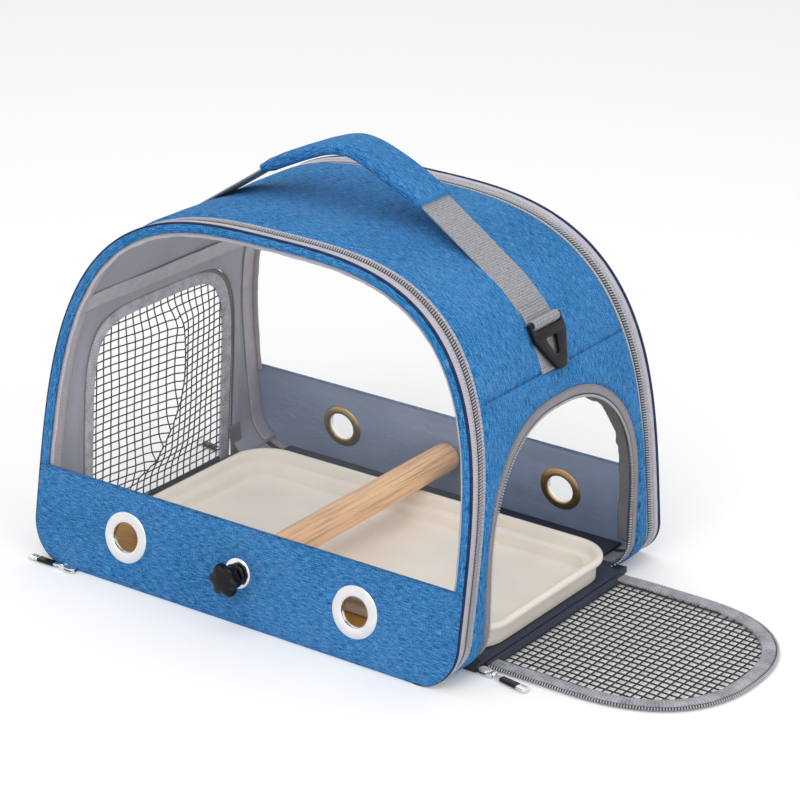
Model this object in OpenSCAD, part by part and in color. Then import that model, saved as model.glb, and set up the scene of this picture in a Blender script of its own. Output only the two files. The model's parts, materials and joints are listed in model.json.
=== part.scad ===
// Soft-sided bird travel carrier: an arched cabin with a clear front and rear,
// a mesh door at each end, a slide-out tray and a perch clamped by star knobs.
// The origin is the middle of the cabin's base, +X points to the open door,
// the front face is towards -Y, and +Z is up.

/* [Cabin] */
// Length of the cabin between its two door ends
cabin_l = 400; // [380:1:430]
// Depth of the cabin at floor level
cabin_d = 302; // [294:1:330]
// Height of the roof
cabin_h = 296; // [284:1:320]
// Lean of the front and rear faces from upright, in degrees
face_lean = 8.4; // [6:0.1:9]
// Radius of the lower corners of the arch
corner_r = 34; // [30:1:38]
// Fullness of the arch sideways, where 2 is an ellipse and more is squarer
arch_side = 3.1; // [2.8:0.1:3.6]
// Fullness of the arch upwards
arch_rise = 3.5; // [3:0.1:4]
// Distance from the roof's height to the seams between the roof and the ends
seam_drop = 90; // [82:1:98]

/* [Fabric walls] */
// Thickness of the padded fabric
wall = 3; // [2.4:0.1:3.4]
// Thickness of the lining
lining_t = 0.6; // [0.4:0.1:1]
// Width of the light piping at each face's edge
piping_w = 6; // [4:0.5:8]
// Width of the zipper tape behind the piping
face_tape_w = 12; // [10:0.5:14]
// Width of a zipper's row of closed teeth
chain_w = 4.5; // [3.5:0.1:6]
// How far piping and teeth stand proud of the fabric
trim_rise = 0.8; // [0.4:0.1:1.2]
// Width of the flat boning that keeps each face's edge in shape
boning_w = 4; // [2.5:0.1:4.5]
// Thickness of the boning
boning_t = 1; // [0.6:0.1:1.4]
// Width of the tape over each seam inside
seam_tape_w = 16; // [10:1:22]

/* [Front and rear faces] */
// Width of the fabric frame round each window
border_w = 13; // [10:0.5:18]
// Height of the fabric band below each window
band_h = 77; // [70:1:86]
// Thickness of the clear window sheet
window_t = 0.7; // [0.4:0.1:1.2]
// How far the window sheet is tucked behind the band
window_tuck = 7; // [4:1:9]
// Width of the soft binding round the window inside
window_bind_w = 5; // [3:0.5:8]
// Thickness of that binding
window_bind_t = 1; // [0.6:0.1:1.2]
// Distance of each port from the middle of the band
port_x = 109; // [100:1:125]
// Height of the ports
port_h = 39; // [36:1:44]
// Radius of a port's hole
port_r = 12; // [10:0.5:13]
// Radius of a port's outer rim
port_rim_r = 20.5; // [18:0.5:22]
// Radius of the hole in a perch eyelet
perch_eye_r = 5; // [4.5:0.1:6]
// Radius of a perch eyelet's rim
perch_rim_r = 12; // [11:0.5:14]
// Thickness of an eyelet's metal
eyelet_t = 1.2; // [0.8:0.1:1.4]

/* [Base] */
// Thickness of the floor fabric
floor_t = 1.6; // [1:0.1:2.4]
// Thickness of the stiff board
board_t = 3.4; // [2.4:0.1:4]
// Thickness of the binding over each door sill
sill_t = 0.6; // [0.4:0.1:1]

/* [Doors] */
// Distance from the rounded door's straight sides to the front and rear faces' feet
door_inset = 52; // [49:1:57]
// Distance from the rounded door's length to the roof's height
door_drop = 122; // [116:1:132]
// How far up the rounded door's sides are straight
door_straight = 67; // [56:1:80]
// Fullness of the rounded door's top
door_round = 2.4; // [2:0.1:3]
// Distance from the squarer door's straight sides to the front and rear faces' feet
side_inset = 54; // [53:1:65]
// Distance from the squarer door's length to the roof's height
side_drop = 110; // [108:1:130]
// How far up the squarer door's sides are straight
side_straight = 60; // [50:1:76]
// Fullness of the squarer door's top
side_round = 5; // [4:0.5:6]
// Gap between a closed door's edge and the teeth round its opening
door_gap = 0.6; // [0.4:0.1:1]
// Width of the tape round a door opening
open_tape_w = 7; // [5:0.5:8]
// Width of the teeth along a door or its opening
teeth_w = 2.6; // [2:0.1:3.2]
// Width of the binding round a door
door_bind_w = 10.4; // [8:0.2:14]
// Thickness of the door's binding
door_t = 4; // [3:0.1:4.2]
// Height of the hinge fold above the floor
hinge_h = 2.5; // [2.4:0.1:3]
// How far a closed door turns past upright, in degrees
door_lean = 2; // [1:0.5:2.5]
// Distance between the cords of a door's net
net_pitch = 11.6; // [10:0.1:14]
// Width of a net cord
net_cord = 1.4; // [1:0.1:2]
// Depth of the hem between the hinge fold and the net
hem_w = 14; // [12:1:20]

/* [Tray] */
// Length of the tray over its rim
tray_l = 356; // [330:1:360]
// Width of the tray over its rim
tray_w = 194; // [180:1:194]
// Height of the tray
tray_h = 20.2; // [16:0.2:20.4]
// Radius of the tray's corners
tray_r = 34; // [24:1:44]
// Thickness of the tray's walls
tray_t = 2; // [1.6:0.1:2.6]
// Width of the tray's rolled rim
rim_w = 5; // [4:0.5:7]
// Width of the ledge half way down the tray's wall
ledge_w = 9; // [5:0.5:14]
// Distance of the tray's end from the closed door
tray_door_gap = 0.8; // [0.6:0.1:3]

/* [Perch] */
// Radius of the perch
perch_r = 12.5; // [10:0.5:12.5]
// Height of the perch's axis
perch_h = 39.5; // [39.4:0.1:42]
// Radius of the screw that holds the perch
stud_r = 2.95; // [2.45:0.05:3.2]
// Depth of the screw in the perch
stud_grip = 12; // [10:0.5:13]
// Radius of the threaded insert
insert_r = 4.5; // [4.2:0.1:6]
// Length of the insert
insert_l = 15; // [14.5:0.5:20]
// Radius of the star knob over its lobes
knob_r = 13.5; // [11:0.5:16]
// Number of lobes on the star knob
knob_lobes = 6; // [5:1:8]
// Thickness of the star knob's head
knob_t = 10; // [8:0.5:14]
// Radius of the washer behind the knob
washer_r = 9; // [8:0.5:11]
// Thickness of that washer
washer_t = 2.5; // [1.5:0.1:3.5]

/* [Handle] */
// Height of the handle's highest point above the roof
handle_rise = 51; // [46:1:69]
// Half the length of the padded sleeve
sleeve_half = 74; // [66:1:92]
// Steepness of the sleeve's two flanks
sleeve_slope = 0.53; // [0.45:0.01:0.56]
// Roundness of the sleeve's top
sleeve_bend = 25; // [15:1:40]
// Thickness of the sleeve
sleeve_t = 9; // [7:0.5:11]
// Width of the sleeve
sleeve_w = 41; // [39:1:48]
// Width of the webbing
web_w = 36; // [32:1:38]
// Thickness of the webbing
web_t = 1.8; // [1.4:0.1:2]
// Radius of the bar of each strap ring
bar_r = 2.2; // [1.8:0.1:2.4]
// Length of a strap ring from its bar to its tip
ring_l = 38; // [34:1:40]
// Thickness of a strap ring
ring_t = 4; // [3:0.1:4.2]
// Angle at which a strap ring hangs, from upright
ring_hang = 28; // [26:1:34]

/* [Zipper sliders] */
// Length of a slider's body
slider_l = 11; // [9:0.5:13]
// Half the width of a slider's body
slider_half = 4.2; // [3.6:0.1:4.6]
// Thickness of a slider's body
slider_t = 3.6; // [3:0.1:3.8]
// Length of a pull
pull_l = 34; // [26:1:40]
// Thickness of a pull
pull_t = 1.8; // [1.4:0.1:2.2]

/* [Hidden] */
$fn = 48;
// Clearance between pieces that move past each other
clear = 0.3;
// Radial clearance of a screw in its thread
thread_clear = 0.05;
// Number of straight steps round the arch
arch_steps = 36;
// Number of straight steps in each lower corner
corner_steps = 6;
// Reach of the cutting blocks, past every edge of the part
reach = 420;

half_l = cabin_l / 2;
flat_half = half_l - corner_r;
strip_w = wall + piping_w + face_tape_w;
base_top = floor_t + board_t;
tray_z = base_top + sill_t + clear;
hinge_x = half_l - 4;
hem_r = hinge_h - 0.4;
handle_h = cabin_h + handle_rise;
sill_x = hinge_x - hem_r - clear;
sill_edge = 2;
seam_h = cabin_h - seam_drop;
door_half = cabin_d / 2 - door_inset;
door_len = cabin_h - door_drop;
side_half = cabin_d / 2 - side_inset;
side_len = cabin_h - side_drop;
sill_half = door_half + door_gap + teeth_w + open_tape_w - 0.5;
side_sill_half = side_half + door_gap + teeth_w + open_tape_w - 0.5;
teeth_t = 2.4;
net_t = 1;
rim_drop = 5;
ledge_drop = 9;
loop_t = 1.5;
loop_half = web_w / 2 - 1;
loop_tail = 14;
thread_end = 1.5;
ring_point = 40;
landing_point = 55;
flap_t = 1.4;
flap_depth = 9;
flap_h = 30;
slider_z = 0.5;
// How far a small piece is let into the one it is fixed to
touch = 0.05;
lug_t = 1.2;
lug_l = 3.4;
pin_r = 0.8;
knob_hub = 5;

fabric = [0.23, 0.47, 0.74];
grey = [0.47, 0.47, 0.50];
light_grey = [0.68, 0.67, 0.70];
dark_grey = [0.30, 0.31, 0.34];
lining_grey = [0.52, 0.53, 0.57];
steel = [0.80, 0.80, 0.82];
black = [0.08, 0.08, 0.09];
ivory = [0.90, 0.87, 0.80];
beech = [0.80, 0.58, 0.35];
clear_sheet = [0.85, 0.92, 0.95, 0.35];

// A unit vector along v
function unit(v) = v / norm(v);
// A vector turned a quarter turn to the left
function left_of(v) = [-v.y, v.x];
// x to the power p, with its sign kept
function spow(x, p) = sign(x) * pow(abs(x), p);
// A point of the arch at angle t, from 0 at the right to 180 at the left
function arch_point(t) = [half_l * spow(cos(t), 2 / arch_side),
    corner_r + (cabin_h - corner_r) * pow(abs(sin(t)), 2 / arch_rise)];
// The outward direction of the arch at angle t
function arch_normal(t) = -left_of(unit(arch_point(t + 3) - arch_point(t - 3)));
// The arch's outline, anticlockwise from the lower right corner
function loaf_points() = concat(
    [for (i = [0:corner_steps]) let (a = -90 + 90 * i / corner_steps)
        [flat_half + corner_r * cos(a), corner_r + corner_r * sin(a)]],
    [for (i = [1:arch_steps - 1]) arch_point(180 * i / arch_steps)],
    [for (i = [0:corner_steps]) let (a = 180 + 90 * i / corner_steps)
        [-flat_half + corner_r * cos(a), corner_r + corner_r * sin(a)]]);
// A closed outline moved inwards by d
function inset(pts, d) = let (n = len(pts)) [for (i = [0:n - 1])
    let (e1 = left_of(unit(pts[i] - pts[(i + n - 1) % n])),
        e2 = left_of(unit(pts[(i + 1) % n] - pts[i])), m = unit(e1 + e2))
    pts[i] + m * d / (m * e1)];
// The cabin's outline, d inside its outer surface
function loaf(d) = inset(loaf_points(), d);
// Half the cabin's depth at height z, d inside the leaning face
function face_y(z, d = 0) = cabin_d / 2 - z * tan(face_lean) - d / cos(face_lean);
// The outline of a door or its opening, grown by g, from the height low
function door_outline(half, straight, top, round, g, low) = concat([[half + g, low]],
    [for (i = [0:24]) let (t = 7.5 * i) [(half + g) * spow(cos(t), 2 / round),
        straight + (top + g - straight) * pow(abs(sin(t)), 2 / round)]],
    [[-half - g, low]]);
// A rectangle with round corners
function round_rect(l, w, r) = [for (c = [[1, 1, 0], [-1, 1, 90], [-1, -1, 180], [1, -1, 270]])
    for (i = [0:6]) let (a = c[2] + 15 * i)
    [c[0] * (l / 2 - r) + r * cos(a), c[1] * (w / 2 - r) + r * sin(a)]];
// Height of the sleeve's middle line, d under its upper surface
function sleeve_z(x, d) = let (s = sleeve_slope * x / sqrt(x * x + sleeve_bend * sleeve_bend))
    handle_h - sleeve_slope * (sqrt(x * x + sleeve_bend * sleeve_bend) - sleeve_bend)
    - d * sqrt(1 + s * s);

// Turns a shape drawn in X and Z into a bar along Y, of half length h
module along_y(h) {
    rotate([90, 0, 0]) translate([0, 0, -h]) linear_extrude(2 * h) children();
}

// Turns a shape drawn in Y and Z into a bar along X, from x1 to x2
module along_x(x1, x2) {
    rotate([90, 0, 90]) translate([0, 0, x1]) linear_extrude(x2 - x1) children();
}

// The space between the two leaning faces, d inside them
module trunk(d) {
    along_x(-reach, reach) polygon([[-face_y(-10, d), -10], [face_y(-10, d), -10],
        [face_y(cabin_h + 20, d), cabin_h + 20], [-face_y(cabin_h + 20, d), cabin_h + 20]]);
}

// The layer of a leaning face from d1 to d2 inside it, side -1 front, 1 rear
module face_layer(side, d1, d2) {
    along_x(-reach, reach) polygon([[side * face_y(-10, d1), -10], [side * face_y(-10, d2), -10],
        [side * face_y(cabin_h + 20, d2), cabin_h + 20], [side * face_y(cabin_h + 20, d1), cabin_h + 20]]);
}

// The shell of the arch between two depths under its outer surface
module arch_shell(d1, d2) {
    along_y(reach / 2) difference() {
        polygon(loaf(d1));
        polygon(loaf(d2));
    }
}

// The space above height z
module above(z) {
    translate([-reach, -reach, z]) cube([2 * reach, 2 * reach, reach]);
}

// The space below height z
module below(z) {
    translate([-reach, -reach, z - reach]) cube([2 * reach, 2 * reach, reach]);
}

// The space past the flat floor, side 1 right, -1 left
module past_floor(side) {
    translate([side > 0 ? flat_half : -reach, -reach, 0]) cube([reach - flat_half, 2 * reach, reach]);
}

// The space round the arch, without the flat stretch at the floor
module round_arch() {
    difference() {
        above(0);
        translate([-flat_half, -reach, -1]) cube([2 * flat_half, 2 * reach, corner_r + 1]);
    }
}

// Places a shape at the foot of a leaning face, with its Y up the face and its Z outwards
module on_face(side) {
    mirror([0, side > 0 ? 1 : 0, 0]) translate([0, -cabin_d / 2, 0]) rotate([90 - face_lean, 0, 0])
        children();
}

// The height up a leaning face that is at height z
function up_face(z) = z / cos(face_lean);

module top_panel() {
    color(fabric) intersection() {
        arch_shell(0, wall);
        trunk(strip_w);
        above(seam_h);
    }
}

module roof_lining() {
    color(lining_grey) intersection() {
        arch_shell(wall, wall + lining_t);
        trunk(wall + window_t + window_bind_t);
        above(seam_h);
    }
}

// The way through the rounded door's opening, g wider than the door's teeth
module right_way(g, low) {
    along_x(0, reach) polygon(door_outline(door_half + door_gap, hinge_h + door_straight,
        hinge_h + door_len + door_gap, door_round, g, low));
}

// The way through the squarer door's opening, g wider than the door's teeth
module left_way(g, low) {
    along_x(-reach, 0) polygon(door_outline(side_half + door_gap, hinge_h + side_straight,
        hinge_h + side_len + door_gap, side_round, g, low));
}

module right_end_panel() {
    color(fabric) difference() {
        intersection() {
            arch_shell(0, wall);
            trunk(strip_w);
            past_floor(1);
            below(seam_h);
        }
        right_way(teeth_w + open_tape_w, -1);
    }
}

module left_end_panel() {
    color(fabric) difference() {
        intersection() {
            arch_shell(0, wall);
            trunk(strip_w);
            past_floor(-1);
            below(seam_h);
        }
        left_way(teeth_w + open_tape_w, -1);
    }
}

module right_end_lining() {
    color(lining_grey) difference() {
        intersection() {
            arch_shell(wall, wall + lining_t);
            trunk(wall + window_t + window_bind_t);
            past_floor(1);
            below(seam_h);
            above(base_top);
        }
        right_way(teeth_w + open_tape_w, -1);
    }
}

module left_end_lining() {
    color(lining_grey) difference() {
        intersection() {
            arch_shell(wall, wall + lining_t);
            trunk(wall + window_t + window_bind_t);
            past_floor(-1);
            below(seam_h);
            above(base_top);
        }
        left_way(teeth_w + open_tape_w, -1);
    }
}

module seam_tapes() {
    color(grey) for (side = [-1, 1]) intersection() {
        arch_shell(wall + lining_t, wall + 2 * lining_t);
        trunk(wall + window_t + window_bind_t);
        past_floor(side);
        above(seam_h - seam_tape_w / 2);
        below(seam_h + seam_tape_w / 2);
    }
}

// The floor's plan, with a tongue out to each door's sill
module floor_plan(back, z1, z2, tongue) {
    intersection() {
        union() {
            translate([-flat_half, -reach, z1]) cube([2 * flat_half, 2 * reach, z2 - z1]);
            translate([0, -sill_half, z1]) cube([tongue, 2 * sill_half, z2 - z1]);
            translate([-tongue, -side_sill_half, z1]) cube([tongue, 2 * side_sill_half, z2 - z1]);
        }
        trunk(back);
    }
}

module floor_panel() {
    color(dark_grey) floor_plan(wall, 0, floor_t, sill_x - sill_edge);
}

module base_board() {
    color(lining_grey) floor_plan(wall + window_t + window_bind_t, floor_t, base_top, sill_x - sill_edge);
}

// The binding that closes the floor's edge at one door
module sill_binding(half, inner_half) {
    translate([sill_x - sill_edge, -half, 0]) cube([sill_edge, 2 * half, base_top + sill_t]);
    translate([sill_x - 4 * sill_edge, -inner_half, base_top])
        cube([4 * sill_edge, 2 * inner_half, sill_t]);
}

module sill_bindings() {
    color(grey) {
        sill_binding(sill_half, door_half);
        mirror([1, 0, 0]) sill_binding(side_sill_half, side_half);
    }
}

// The fabric frame round a window
module border(side) {
    intersection() {
        arch_shell(-trim_rise, border_w);
        face_layer(side, 0, wall);
        above(band_h);
    }
}

// The fabric band under a window, with its holes for eyelets
module band(side) {
    difference() {
        intersection() {
            along_y(reach / 2) polygon(loaf(-trim_rise));
            face_layer(side, 0, wall);
            above(0);
            below(band_h);
        }
        on_face(side) {
            for (x = [-port_x, port_x]) translate([x, up_face(port_h), -2 * wall])
                cylinder(r = port_r + eyelet_t, h = 4 * wall);
            translate([0, up_face(perch_h), -2 * wall]) cylinder(r = perch_eye_r + eyelet_t, h = 4 * wall);
        }
    }
}

module window(side) {
    intersection() {
        along_y(reach / 2) polygon(loaf(2 * wall));
        face_layer(side, wall, wall + window_t);
        above(band_h - window_tuck);
    }
}

module front_border() { color(fabric) border(-1); }
module rear_border() { color(fabric) border(1); }
module front_band() { color(fabric) band(-1); }
module rear_band() { color(fabric) band(1); }
module front_window() { color(clear_sheet) window(-1); }
module rear_window() { color(clear_sheet) window(1); }

module window_bindings() {
    color(light_grey) for (side = [-1, 1]) intersection() {
        arch_shell(border_w - 2, border_w - 2 + window_bind_w);
        face_layer(side, wall + window_t, wall + window_t + window_bind_t);
        above(band_h - window_tuck);
    }
}

// The round edge of a face, hollow for its boning
module piping(side) {
    difference() {
        intersection() {
            arch_shell(-trim_rise, wall);
            face_layer(side, wall, wall + piping_w);
            round_arch();
        }
        boning(side);
    }
}

// The flat springy strip inside a piping
module boning(side) {
    intersection() {
        arch_shell((wall - boning_t) / 2, (wall + boning_t) / 2);
        face_layer(side, wall + (piping_w - boning_w) / 2, wall + (piping_w + boning_w) / 2);
        round_arch();
        above(wall);
    }
}

module face_tape(side) {
    intersection() {
        arch_shell(trim_rise, wall);
        face_layer(side, wall + piping_w, strip_w);
        round_arch();
    }
}

module face_teeth(side) {
    intersection() {
        arch_shell(0, trim_rise);
        face_layer(side, wall + piping_w + (face_tape_w - chain_w) / 2,
            wall + piping_w + (face_tape_w + chain_w) / 2);
        round_arch();
    }
}

module front_piping() { color(light_grey) piping(-1); }
module rear_piping() { color(light_grey) piping(1); }
module arch_boning() { color(steel) { boning(-1); boning(1); } }
module front_zipper_tape() { color(grey) face_tape(-1); }
module rear_zipper_tape() { color(grey) face_tape(1); }
module front_zipper_teeth() { color(dark_grey) face_teeth(-1); }
module rear_zipper_teeth() { color(dark_grey) face_teeth(1); }

// A two-part eyelet pressed round a hole in a band
module eyelet(hole_r, rim_r) {
    rotate_extrude($fn = 64) polygon([[hole_r, -wall - eyelet_t], [rim_r - 1.5, -wall - eyelet_t],
        [rim_r - 1.5, -wall], [hole_r + eyelet_t, -wall], [hole_r + eyelet_t, 0], [rim_r, 0],
        [rim_r, 0.5], [rim_r - 1.4, eyelet_t], [hole_r, eyelet_t]]);
}

module port_eyelets() {
    color(steel) for (side = [-1, 1]) on_face(side) for (x = [-port_x, port_x])
        translate([x, up_face(port_h), 0]) eyelet(port_r, port_rim_r);
}

module perch_eyelets() {
    color(steel) for (side = [-1, 1]) on_face(side)
        translate([0, up_face(perch_h), 0]) eyelet(perch_eye_r, perch_rim_r);
}

// Half the perch's length, which just reaches both eyelets' inner rims
perch_half = face_y(perch_h + perch_r - 1, wall + eyelet_t) + touch;
// How far a washer's inner side lies past the perch's end
washer_z = face_y(perch_h - washer_r, -eyelet_t) + clear - perch_half;
// How far the star knob's hub lies past the perch's end
knob_z = washer_z + washer_t + clear;

// Places a shape at one end of the perch, with its Z along the perch and outwards
module perch_end(side) {
    translate([0, side * perch_half, perch_h]) rotate([-90 * side, 0, 0]) children();
}

module perch() {
    color(beech) difference() {
        translate([0, perch_half, perch_h]) rotate([90, 0, 0]) rotate_extrude($fn = 64)
            polygon([[0, 0], [perch_r - 1, 0], [perch_r, 1], [perch_r, 2 * perch_half - 1],
                [perch_r - 1, 2 * perch_half], [0, 2 * perch_half]]);
        for (side = [-1, 1]) perch_end(side) translate([0, 0, -insert_l])
            cylinder(r = insert_r, h = 2 * insert_l);
    }
}

module perch_inserts() {
    color("goldenrod") for (side = [-1, 1]) perch_end(side) translate([0, 0, -insert_l]) difference() {
        cylinder(r = insert_r, h = insert_l);
        translate([0, 0, insert_l - stud_grip - thread_end])
            cylinder(r = stud_r + thread_clear, h = 2 * insert_l);
    }
}

module knob_washer(side) {
    color(black) perch_end(side) translate([0, 0, washer_z]) difference() {
        cylinder(r = washer_r, h = washer_t);
        translate([0, 0, -1]) cylinder(r = stud_r + thread_clear, h = washer_t + 2);
    }
}

// A star knob's outline, with a shallow scallop between each pair of lobes
function star_points(r, cut) = [for (a = [0:5:355]) let (s = sin(knob_lobes * a / 2))
    (r - cut * s * s) * [cos(a), sin(a)]];

module star_knob(side) {
    color(black) perch_end(side) translate([0, 0, knob_z]) difference() {
        union() {
            cylinder(r = washer_r - 1.5, h = knob_hub + 1);
            translate([0, 0, knob_hub]) intersection() {
                linear_extrude(knob_t) polygon(star_points(knob_r, knob_r / 5));
                rotate_extrude($fn = 64) polygon([[0, 0], [knob_r - 2.5, 0], [knob_r, 2.5],
                    [knob_r, knob_t - 3], [knob_r - 3, knob_t - 0.6], [knob_r / 2, knob_t], [0, knob_t]]);
            }
        }
        translate([0, 0, -1]) cylinder(r = stud_r, h = knob_hub + knob_t + 2);
    }
}

module knob_stud(side) {
    color(steel) perch_end(side) translate([0, 0, -stud_grip])
        cylinder(r = stud_r, h = stud_grip + knob_z + knob_hub + knob_t - 0.4);
}

module front_knob_washer() knob_washer(-1);
module front_star_knob() star_knob(-1);
module front_knob_stud() knob_stud(-1);
module rear_knob_washer() knob_washer(1);
module rear_star_knob() star_knob(1);
module rear_knob_stud() knob_stud(1);

module right_opening_tape() {
    color(grey) difference() {
        intersection() {
            arch_shell(trim_rise / 2, wall);
            right_way(teeth_w + open_tape_w, 0);
            above(base_top);
        }
        right_way(teeth_w, -1);
    }
}

module right_opening_teeth() {
    color(dark_grey) difference() {
        intersection() {
            arch_shell(trim_rise / 2, trim_rise / 2 + teeth_t);
            right_way(teeth_w, 0);
            above(base_top);
        }
        right_way(0, -1);
    }
}

module left_opening_tape() {
    color(grey) difference() {
        intersection() {
            arch_shell(trim_rise / 2, wall);
            left_way(teeth_w + open_tape_w, 0);
            above(base_top);
        }
        left_way(teeth_w, -1);
    }
}

module left_opening_teeth() {
    color(dark_grey) difference() {
        intersection() {
            arch_shell(trim_rise / 2, trim_rise / 2 + teeth_t);
            left_way(teeth_w, 0);
            above(base_top);
        }
        left_way(0, -1);
    }
}

// The soft edge of the lining that stands inwards round the rounded opening
module right_inner_flap() {
    color(light_grey) difference() {
        intersection() {
            arch_shell(wall + lining_t, wall + lining_t + flap_depth);
            right_way(door_gap + flap_t, 0);
            above(flap_h);
        }
        right_way(door_gap, -1);
    }
}

// A door's outline laid flat, with the hinge at X = 0 and the door's length along +X
function laid(half, straight, len, round, g, low) =
    [for (p = door_outline(half, straight, len, round, g, low)) [p.y, p.x]];

// The rolled fold at a door's hinge and the hem that carries its net
module hem(half) {
    translate([0, half - 1, 0]) rotate([90, 0, 0]) cylinder(r = hem_r, h = 2 * half - 2);
    translate([0, door_bind_w + teeth_w - half, -lining_t])
        cube([hem_w, 2 * (half - door_bind_w - teeth_w), 2 * lining_t]);
}

// A band of thickness t along a door's edge, from g1 to g2 inside it
module edge_band(half, straight, len, round, g1, g2, t) {
    translate([0, 0, -t / 2]) linear_extrude(t) difference() {
        polygon(laid(half, straight, len, round, -g1, hem_r));
        polygon(laid(half, straight, len, round, -g2, 0));
    }
}

// The square net of a door, inside its binding and past its hem
module net(half, straight, len, round) {
    edge = teeth_w + door_bind_w;
    across = ceil(half / net_pitch);
    along = ceil(len / net_pitch);
    translate([0, 0, -net_t / 2]) linear_extrude(net_t) intersection() {
        polygon(laid(half, straight, len, round, -edge, hem_w));
        union() {
            for (i = [-across:across]) translate([0, i * net_pitch - net_cord / 2])
                square([len, net_cord]);
            for (i = [1:along]) translate([hem_w + (i - 0.5) * net_pitch, -half])
                square([net_cord, 2 * half]);
        }
    }
}

// The hinge of the open door, which lies flat on the ground
module right_hinge() translate([hinge_x, 0, hinge_h]) children();

// The hinge of the closed door, which stands up and leans in with the end wall
module left_hinge() {
    translate([-hinge_x, 0, hinge_h]) rotate([0, 90 + door_lean, 0]) mirror([1, 0, 0]) children();
}

module right_door_hem() { color(grey) right_hinge() hem(door_half); }
module right_door_net() { color(black) right_hinge() net(door_half, door_straight, door_len, door_round); }
module right_door_binding() {
    color(grey) right_hinge() edge_band(door_half, door_straight, door_len, door_round,
        teeth_w, teeth_w + door_bind_w, door_t);
}
module right_door_teeth() {
    color(dark_grey) right_hinge() edge_band(door_half, door_straight, door_len, door_round,
        0, teeth_w, teeth_t);
}
module left_door_hem() { color(grey) left_hinge() hem(side_half); }
module left_door_net() { color(black) left_hinge() net(side_half, side_straight, side_len, side_round); }
module left_door_binding() {
    color(grey) left_hinge() edge_band(side_half, side_straight, side_len, side_round,
        teeth_w, teeth_w + door_bind_w, door_t);
}
module left_door_teeth() {
    color(dark_grey) left_hinge() edge_band(side_half, side_straight, side_len, side_round,
        0, teeth_w, teeth_t);
}

// Where the tray's end stops, just short of the closed door
tray_end = hinge_x - door_t / 2 - (tray_z + tray_h) * tan(door_lean) - tray_door_gap;
rim_t = tray_t + 0.4;

// A block of the tray's plan, in from its rim by g, from z1 to z2
module tray_block(g, z1, z2) {
    translate([0, 0, z1]) linear_extrude(z2 - z1)
        polygon(round_rect(tray_l - 2 * g, tray_w - 2 * g, tray_r - g));
}

module tray() {
    ledge_z = tray_h - ledge_drop;
    color(ivory) translate([tray_end - tray_l / 2, 0, tray_z]) difference() {
        union() {
            tray_block(rim_w, 0, tray_h);
            tray_block(0, tray_h - rim_drop, tray_h);
        }
        difference() {
            tray_block(rim_t / 2, tray_h - rim_drop - 1, tray_h - rim_t);
            tray_block(rim_w, tray_h - rim_drop - 2, tray_h);
        }
        tray_block(rim_w + tray_t, ledge_z, tray_h + 1);
        tray_block(rim_w + tray_t + ledge_w, tray_t, tray_h);
        difference() {
            tray_block(rim_w + tray_t, -1, ledge_z - tray_t);
            tray_block(rim_w + ledge_w, -2, ledge_z);
        }
    }
}

// A thick line of thickness t along pts, drawn in X and Z
function thick(pts, t) = let (n = len(pts), side = [for (i = [0:n - 1])
    left_of(unit(pts[min(i + 1, n - 1)] - pts[max(i - 1, 0)])) * t / 2])
    concat([for (i = [0:n - 1]) pts[i] + side[i]], [for (i = [n - 1:-1:0]) pts[i] - side[i]]);

// The places along the sleeve at which its curve is worked out
sleeve_steps = [for (i = [-11:11]) sleeve_half * i / 11];
landing = arch_point(landing_point) + arch_normal(landing_point) * (web_t / 2 + 0.02);

module handle_span() {
    along_y(web_w / 2) polygon(thick(concat([[-landing.x, landing.y]],
        [for (x = sleeve_steps) [x, sleeve_z(x, sleeve_t / 2)]], [landing]), web_t));
}

module handle_webbing() {
    color(grey) {
        handle_span();
        intersection() {
            arch_shell(-web_t, 0);
            translate([-reach, -web_w / 2, seam_h])
                cube([2 * reach, web_w, arch_point(landing_point).y + 1 - seam_h]);
        }
    }
}

module handle_sleeve() {
    color(fabric) difference() {
        along_y(sleeve_w / 2) polygon(concat([for (x = sleeve_steps) [x, sleeve_z(x, 0)]],
            [for (i = [len(sleeve_steps) - 1:-1:0]) [sleeve_steps[i], sleeve_z(sleeve_steps[i], sleeve_t)]]));
        handle_span();
    }
}

loop_r = bar_r + clear;
bar_at = arch_point(ring_point) + arch_normal(ring_point) * (web_t + loop_r + loop_t);

// The fold of webbing that holds a strap ring's bar, stitched down above it
module ring_loop() {
    difference() {
        union() {
            translate([bar_at.x, loop_half, bar_at.y]) rotate([90, 0, 0])
                cylinder(r = loop_r + loop_t, h = 2 * loop_half);
            intersection() {
                arch_shell(-web_t - loop_t, -web_t);
                translate([0, -loop_half, arch_point(ring_point).y])
                    cube([reach, 2 * loop_half, loop_tail]);
            }
        }
        translate([bar_at.x, reach, bar_at.y]) rotate([90, 0, 0]) cylinder(r = loop_r, h = 2 * reach);
    }
}

module ring_loops() {
    color(grey) {
        ring_loop();
        mirror([1, 0, 0]) ring_loop();
    }
}

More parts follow.
